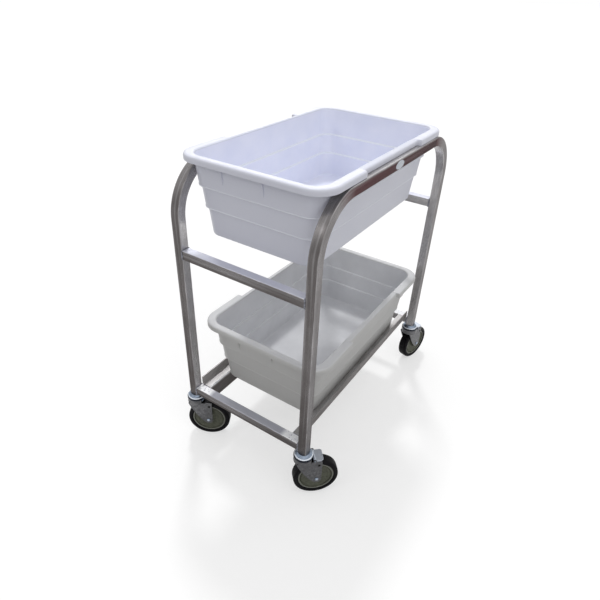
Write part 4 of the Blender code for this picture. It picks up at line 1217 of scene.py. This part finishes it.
# %% [markdown]
# ## Forks, nuts and pedals
# A fork is one blank of 3 mm steel pressed into a U over the wheel, with a round cup on top that holds the
# lower raceway. Its arms, crown and cup are drawn as flat plates with their holes and joined by a Boolean
# union, and a bevel then breaks every edge as tumbling does. The nut is a hexagon cut by a cone at its ends.
# The pedal is a plate with a lip down each side, curled round its pin, and a shoe under it that presses on
# the tyre.


# %% Flat plates
HOLE_STEPS = 32
MERGE_WITHIN = 0.001 * MM


def plate(outline, thickness, holes=()):
    """A plate with round holes, from its outline in x and y, centred on z."""
    curve = bpy.data.curves.new("plate", "CURVE")
    curve.dimensions = "2D"
    curve.fill_mode = "BOTH"
    curve.extrude = thickness / 2
    for ring in [outline] + [circle(radius, HOLE_STEPS, (x, y)) for x, y, radius in holes]:
        spline = curve.splines.new("POLY")
        spline.points.add(len(ring) - 1)
        for point, place in zip(spline.points, ring):
            point.co = (place[0], place[1], 0, 1)
        spline.use_cyclic_u = True
    filled = kept_mesh("plate", scratch(curve))
    bm = bmesh.new()
    bm.from_mesh(filled)
    bmesh.ops.remove_doubles(bm, verts=bm.verts, dist=MERGE_WITHIN)
    return made_mesh("plate", bm)


def upright(mesh, y=0.0):
    """Stands a plate drawn in x and y up in x and z, with its middle at that y."""
    mesh.transform(Matrix.Translation((0, y, 0)) @ Matrix.Rotation(TURN / 4, 4, "X"))
    return mesh


def joined(meshes, operation="UNION"):
    """One mesh from several by a Boolean."""
    objects = [scratch(mesh) for mesh in meshes]
    for tool in objects[1:]:
        cut = objects[0].modifiers.new("join", "BOOLEAN")
        cut.operation = operation
        cut.solver = "EXACT"
        cut.object = tool
    mesh = kept_mesh("joined", objects[0])
    mesh.materials.clear()
    for tool in objects[1:]:
        bpy.data.objects.remove(tool, do_unlink=True)
    return mesh


print("points round a hole:", HOLE_STEPS)


# %% The fork
PIN_X = 27.5 * MM
PIN_Z = CROWN_TOP + 3.0 * MM
PIN_RADIUS = 2.0 * MM
CUP_RADIUS = 27.4 * MM
CUP_WALL = 1.8 * MM
CUP_TOP = 146.8 * MM
CUP_FOOT = 127.0 * MM
CUP_OPEN = math.radians(50)
CUP_STEPS = 48
CROWN_SHARE = 0.97
STEM_HOLE = 5.8 * MM
ARM_FRONT = -21.4 * MM
ARM_SWEEP = Vector((0.0, 78.0 * MM))
ARM_STEPS = 12
ARM_DROP = 1.0 * MM
EYE_RADIUS = 13.0 * MM
EYE_FROM = math.radians(228)
EAR = 4.5 * MM
ROUND_HOLE = (TRAIL + 4.5 * MM, CROWN_TOP - 13.5 * MM, 4.0 * MM)
FORK_EDGE = 0.7 * MM
FORK_BEVEL_FROM = 40


def arm_outline(top, braked):
    """An arm from the side: a round eye, a straight back, the pin's ear and a front that bulges forward."""
    outline = arc(EYE_RADIUS, EYE_FROM, TURN, 16, (TRAIL, AXLE_Z))
    outline.append((TRAIL + EYE_RADIUS, top))
    if braked:
        outline += [(PIN_X + EAR, top), *arc(EAR, 0, TURN / 2, 10, (PIN_X, PIN_Z)), (PIN_X - EAR, top)]
    outline.append((ARM_FRONT, top))
    high, low = Vector((ARM_FRONT, CUP_FOOT)), Vector(outline[0])
    for t in (i / ARM_STEPS for i in range(ARM_STEPS)):
        outline.append(tuple((1 - t) ** 2 * high + 2 * t * (1 - t) * ARM_SWEEP + t ** 2 * low))
    return outline


def fork(braked):
    """Two arms, the crown between them and the cup that holds the lower race, open behind for the pedal."""
    holes = [(TRAIL, AXLE_Z, AXLE_HOLE), ROUND_HOLE]
    if braked:
        holes.append((PIN_X, PIN_Z, PIN_RADIUS + PLAY))
    arms = [upright(plate(arm_outline(CROWN_TOP - ARM_DROP, braked), FORK_PLATE, holes),
                    side * (FORK_INSIDE + FORK_PLATE / 2)) for side in (-1, 1)]
    rim, inner, disc = (arc(radius, CUP_OPEN, TURN - CUP_OPEN, CUP_STEPS)
                        for radius in (CUP_RADIUS, CUP_RADIUS - CUP_WALL, CUP_RADIUS * CROWN_SHARE))
    crown = plate(disc, FORK_PLATE, [(0, 0, STEM_HOLE)])
    crown.transform(Matrix.Translation((0, 0, CROWN_TOP - FORK_PLATE / 2)))
    cup = plate(rim + inner[::-1], CUP_TOP - CUP_FOOT)
    cup.transform(Matrix.Translation((0, 0, (CUP_TOP + CUP_FOOT) / 2)))
    return bevelled(joined([crown, cup] + arms), FORK_EDGE, FORK_BEVEL_FROM)


fork_meshes = {braked: fork(braked) for braked in (False, True)}
print("forks:", [len(mesh.polygons) for mesh in fork_meshes.values()], "faces")


# %% The nut
NUT_CORNER = 8.6 * MM
NUT_WIDTH = 6.0 * MM


def nut():
    """A hexagon nut whose corners are turned off."""
    hexagon = plate(circle(NUT_CORNER, 6), NUT_WIDTH, [(0, 0, AXLE_HOLE)])
    cone = turned(sized([(0, 3.1), (7.6, 3.1), (9, 2.2), (9, -2.2), (7.6, -3.1), (0, -3.1)]), 48)
    mesh = joined([hexagon, cone], "INTERSECT")
    mesh.transform(Matrix.Translation((0, 0, -(FORK_OUTSIDE + PLAY + NUT_WIDTH / 2))))
    return across_wheel(mesh, TRAIL, AXLE_Z)


nut_mesh = nut()
print("nut:", len(nut_mesh.polygons), "faces")


# %% The pedal and its pin
PEDAL_START = 1.5 * MM
PEDAL_END = 24.5 * MM
PEDAL_THICKNESS = 2.6 * MM
PEDAL_CORNER = 6.0 * MM
LIP_DEPTH = 6.5 * MM
LIP_THICKNESS = 1.6 * MM
LIP_FROM_END = 6 * MM
LIP_CORNER = 1.5 * MM
BARREL = 3.5 * MM
PEDAL_EDGE = 0.9 * MM
PEDAL_BEVEL_FROM = 50
SHOE_SHARE = 0.85
SHOE = (7.5 * MM, -2.9 * MM, PEDAL_END - 3 * MM, 0.0)


def rectangle(x0, y0, x1, y1):
    """The four corners of a rectangle."""
    return [(x0, y0), (x1, y0), (x1, y1), (x0, y1)]


def pedal():
    """A plate with round corners and a lip down each side, curled round its pin, with its shoe under it."""
    half = FORK_INSIDE - PLAY
    foot = rectangle(PEDAL_START, -half, PEDAL_END, half)
    top = plate(eased(foot, PEDAL_CORNER, 5, closed=False), PEDAL_THICKNESS)
    shoe = upright(plate(rectangle(*SHOE), SHOE_SHARE * 2 * half))
    barrel = upright(plate(circle(BARREL, 24), 2 * half))
    bore = upright(plate(circle(PIN_RADIUS + PLAY, 24), 3 * half))
    lip = eased(rectangle(LIP_FROM_END, -LIP_DEPTH, PEDAL_END - LIP_FROM_END, 0.0), LIP_CORNER, 3)
    lips = [upright(plate(lip, LIP_THICKNESS), side * (half - LIP_THICKNESS / 2)) for side in (-1, 1)]
    mesh = joined([joined([top, shoe, barrel] + lips), bore], "DIFFERENCE")
    mesh = bevelled(mesh, PEDAL_EDGE, PEDAL_BEVEL_FROM)
    # The lips' outer sides have the brightest painted highlight, and the rest of the pedal is painted lighter too
    mark_painted_highlight(mesh, lambda co: 0.95 if abs(co.y) > half - PEDAL_EDGE and co.z < 0.6 * MM else 0.6)
    mesh.transform(Matrix.Translation((PIN_X, 0, PIN_Z)))
    return mesh


# The pin, with both ends chamfered
PIN_CHAMFER = 0.4 * MM
end = FORK_OUTSIDE + PLAY
pin_side = [(0, end), (PIN_RADIUS - PIN_CHAMFER, end), (PIN_RADIUS, end - PIN_CHAMFER)]
pin_mesh = across_wheel(turned(pin_side + [(r, -z) for r, z in pin_side[::-1]], 32), PIN_X, PIN_Z)
pedal_mesh = pedal()
print("pedal:", len(pedal_mesh.polygons), "faces")


# %% [markdown]
# ## The ring of balls
# Between the two raceways run loose balls. They show only from low down, but they are what the caster turns
# on, so they are real: one ball, instanced round a circle by Geometry Nodes.


# %% Balls round a circle
BALLS = 18
BALL_RADIUS = 2.5 * MM
BALL_CIRCLE = 15.0 * MM
BALL_HEIGHT = 140.9 * MM


def ball_ring():
    """A mesh circle of points in, a ball on each point out."""
    tree, given = new_tree("ball_ring", "Circle", "Balls", {"Ball radius": "Float"})
    spots = add_node(tree, "GeometryNodeMeshToPoints", {"Mesh": given["Circle"]})
    ball = add_node(tree, "GeometryNodeMeshUVSphere", {"Radius": given["Ball radius"], "Segments": 16,
                                                       "Rings": 8})
    row = add_node(tree, "GeometryNodeInstanceOnPoints", {"Points": spots, "Instance": ball})
    end_tree(tree, row, given["Finish"])
    return tree


spots = path_mesh([(x, y, BALL_HEIGHT) for x, y in circle(BALL_CIRCLE, BALLS)])
balls_mesh = kept_mesh("balls", through(ball_ring(), spots, {"Ball radius": BALL_RADIUS,
                                                             "Finish": bright_zinc}))
print("balls:", len(balls_mesh.polygons), "faces")


# %% Put the casters together
for corner, under_leg in casters.items():
    braked = f"brake_pedal_{corner}" in nodes
    swivel, wheel = f"swivel_{corner}", f"wheel_{corner}"
    pieces = [("upper_race", upper_race_mesh, "frame", "zinc_plate", "upper_raceway"),
              ("lower_race", lower_race_mesh, swivel, "zinc_plate", "lower_raceway"),
              ("balls", balls_mesh, swivel, "zinc_plate", "bearing_ring"),
              ("fork_steel", fork_meshes[braked], swivel, "zinc_plate", "fork"),
              ("axle_screw", bolt_mesh, swivel, "zinc_plate", "axle_bolt"),
              ("hex_nut", nut_mesh, swivel, "zinc_plate", "axle_nut"),
              ("wheel_disc", core_mesh, wheel, "olive_nylon", "wheel_core"),
              ("tyre_ring", tyre_mesh, wheel, "black_rubber", "tyre")]
    if braked:
        pieces += [("pedal_steel", pedal_mesh, f"pedal_{corner}", "zinc_plate", "brake_pedal"),
                   ("pedal_pin", pin_mesh, swivel, "zinc_plate", "brake_pin")]
    for name, mesh, body, slot, node in pieces:
        placed = mesh.copy()
        placed.transform(under_leg)
        add_piece(f"{name}_{corner}", placed, body, slot, [f"{node}_{corner}"],
                  fork_zinc if node == "fork" else None)
    print(corner, len(pieces), "pieces")


# %% [markdown]
# ## Blank label
# A thin oval plate sits on the right rail where the real cart carries one. It stays blank. A raised edge
# keeps it from looking like paint.

# %% The oval plate
# Each ring's share of the oval's size, and its share of the plate's thickness
LABEL_RINGS = ((1.0, 0.0), (1.0, 0.6), (0.97, 1.0), (0.90, 1.0), (0.87, 0.62))

low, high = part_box("blank_label")
half_y, half_z = (high.y - low.y) / 2, (high.z - low.z) / 2
bm = bmesh.new()
skin_over(bm, [[bm.verts.new((low.x + (high.x - low.x) * lift, share * half_y * c, share * half_z * s))
                for c, s in circle(1, 64)] for share, lift in LABEL_RINGS])
bmesh.ops.translate(bm, verts=bm.verts, vec=(0, (low.y + high.y) / 2, (low.z + high.z) / 2))
add_piece("blank_plate", made_mesh("blank_plate", bm), "frame", "blank_label", ["blank_label"])
print("label:", round(2 * half_y / MM, 1), "x", round(2 * half_z / MM, 1), "mm")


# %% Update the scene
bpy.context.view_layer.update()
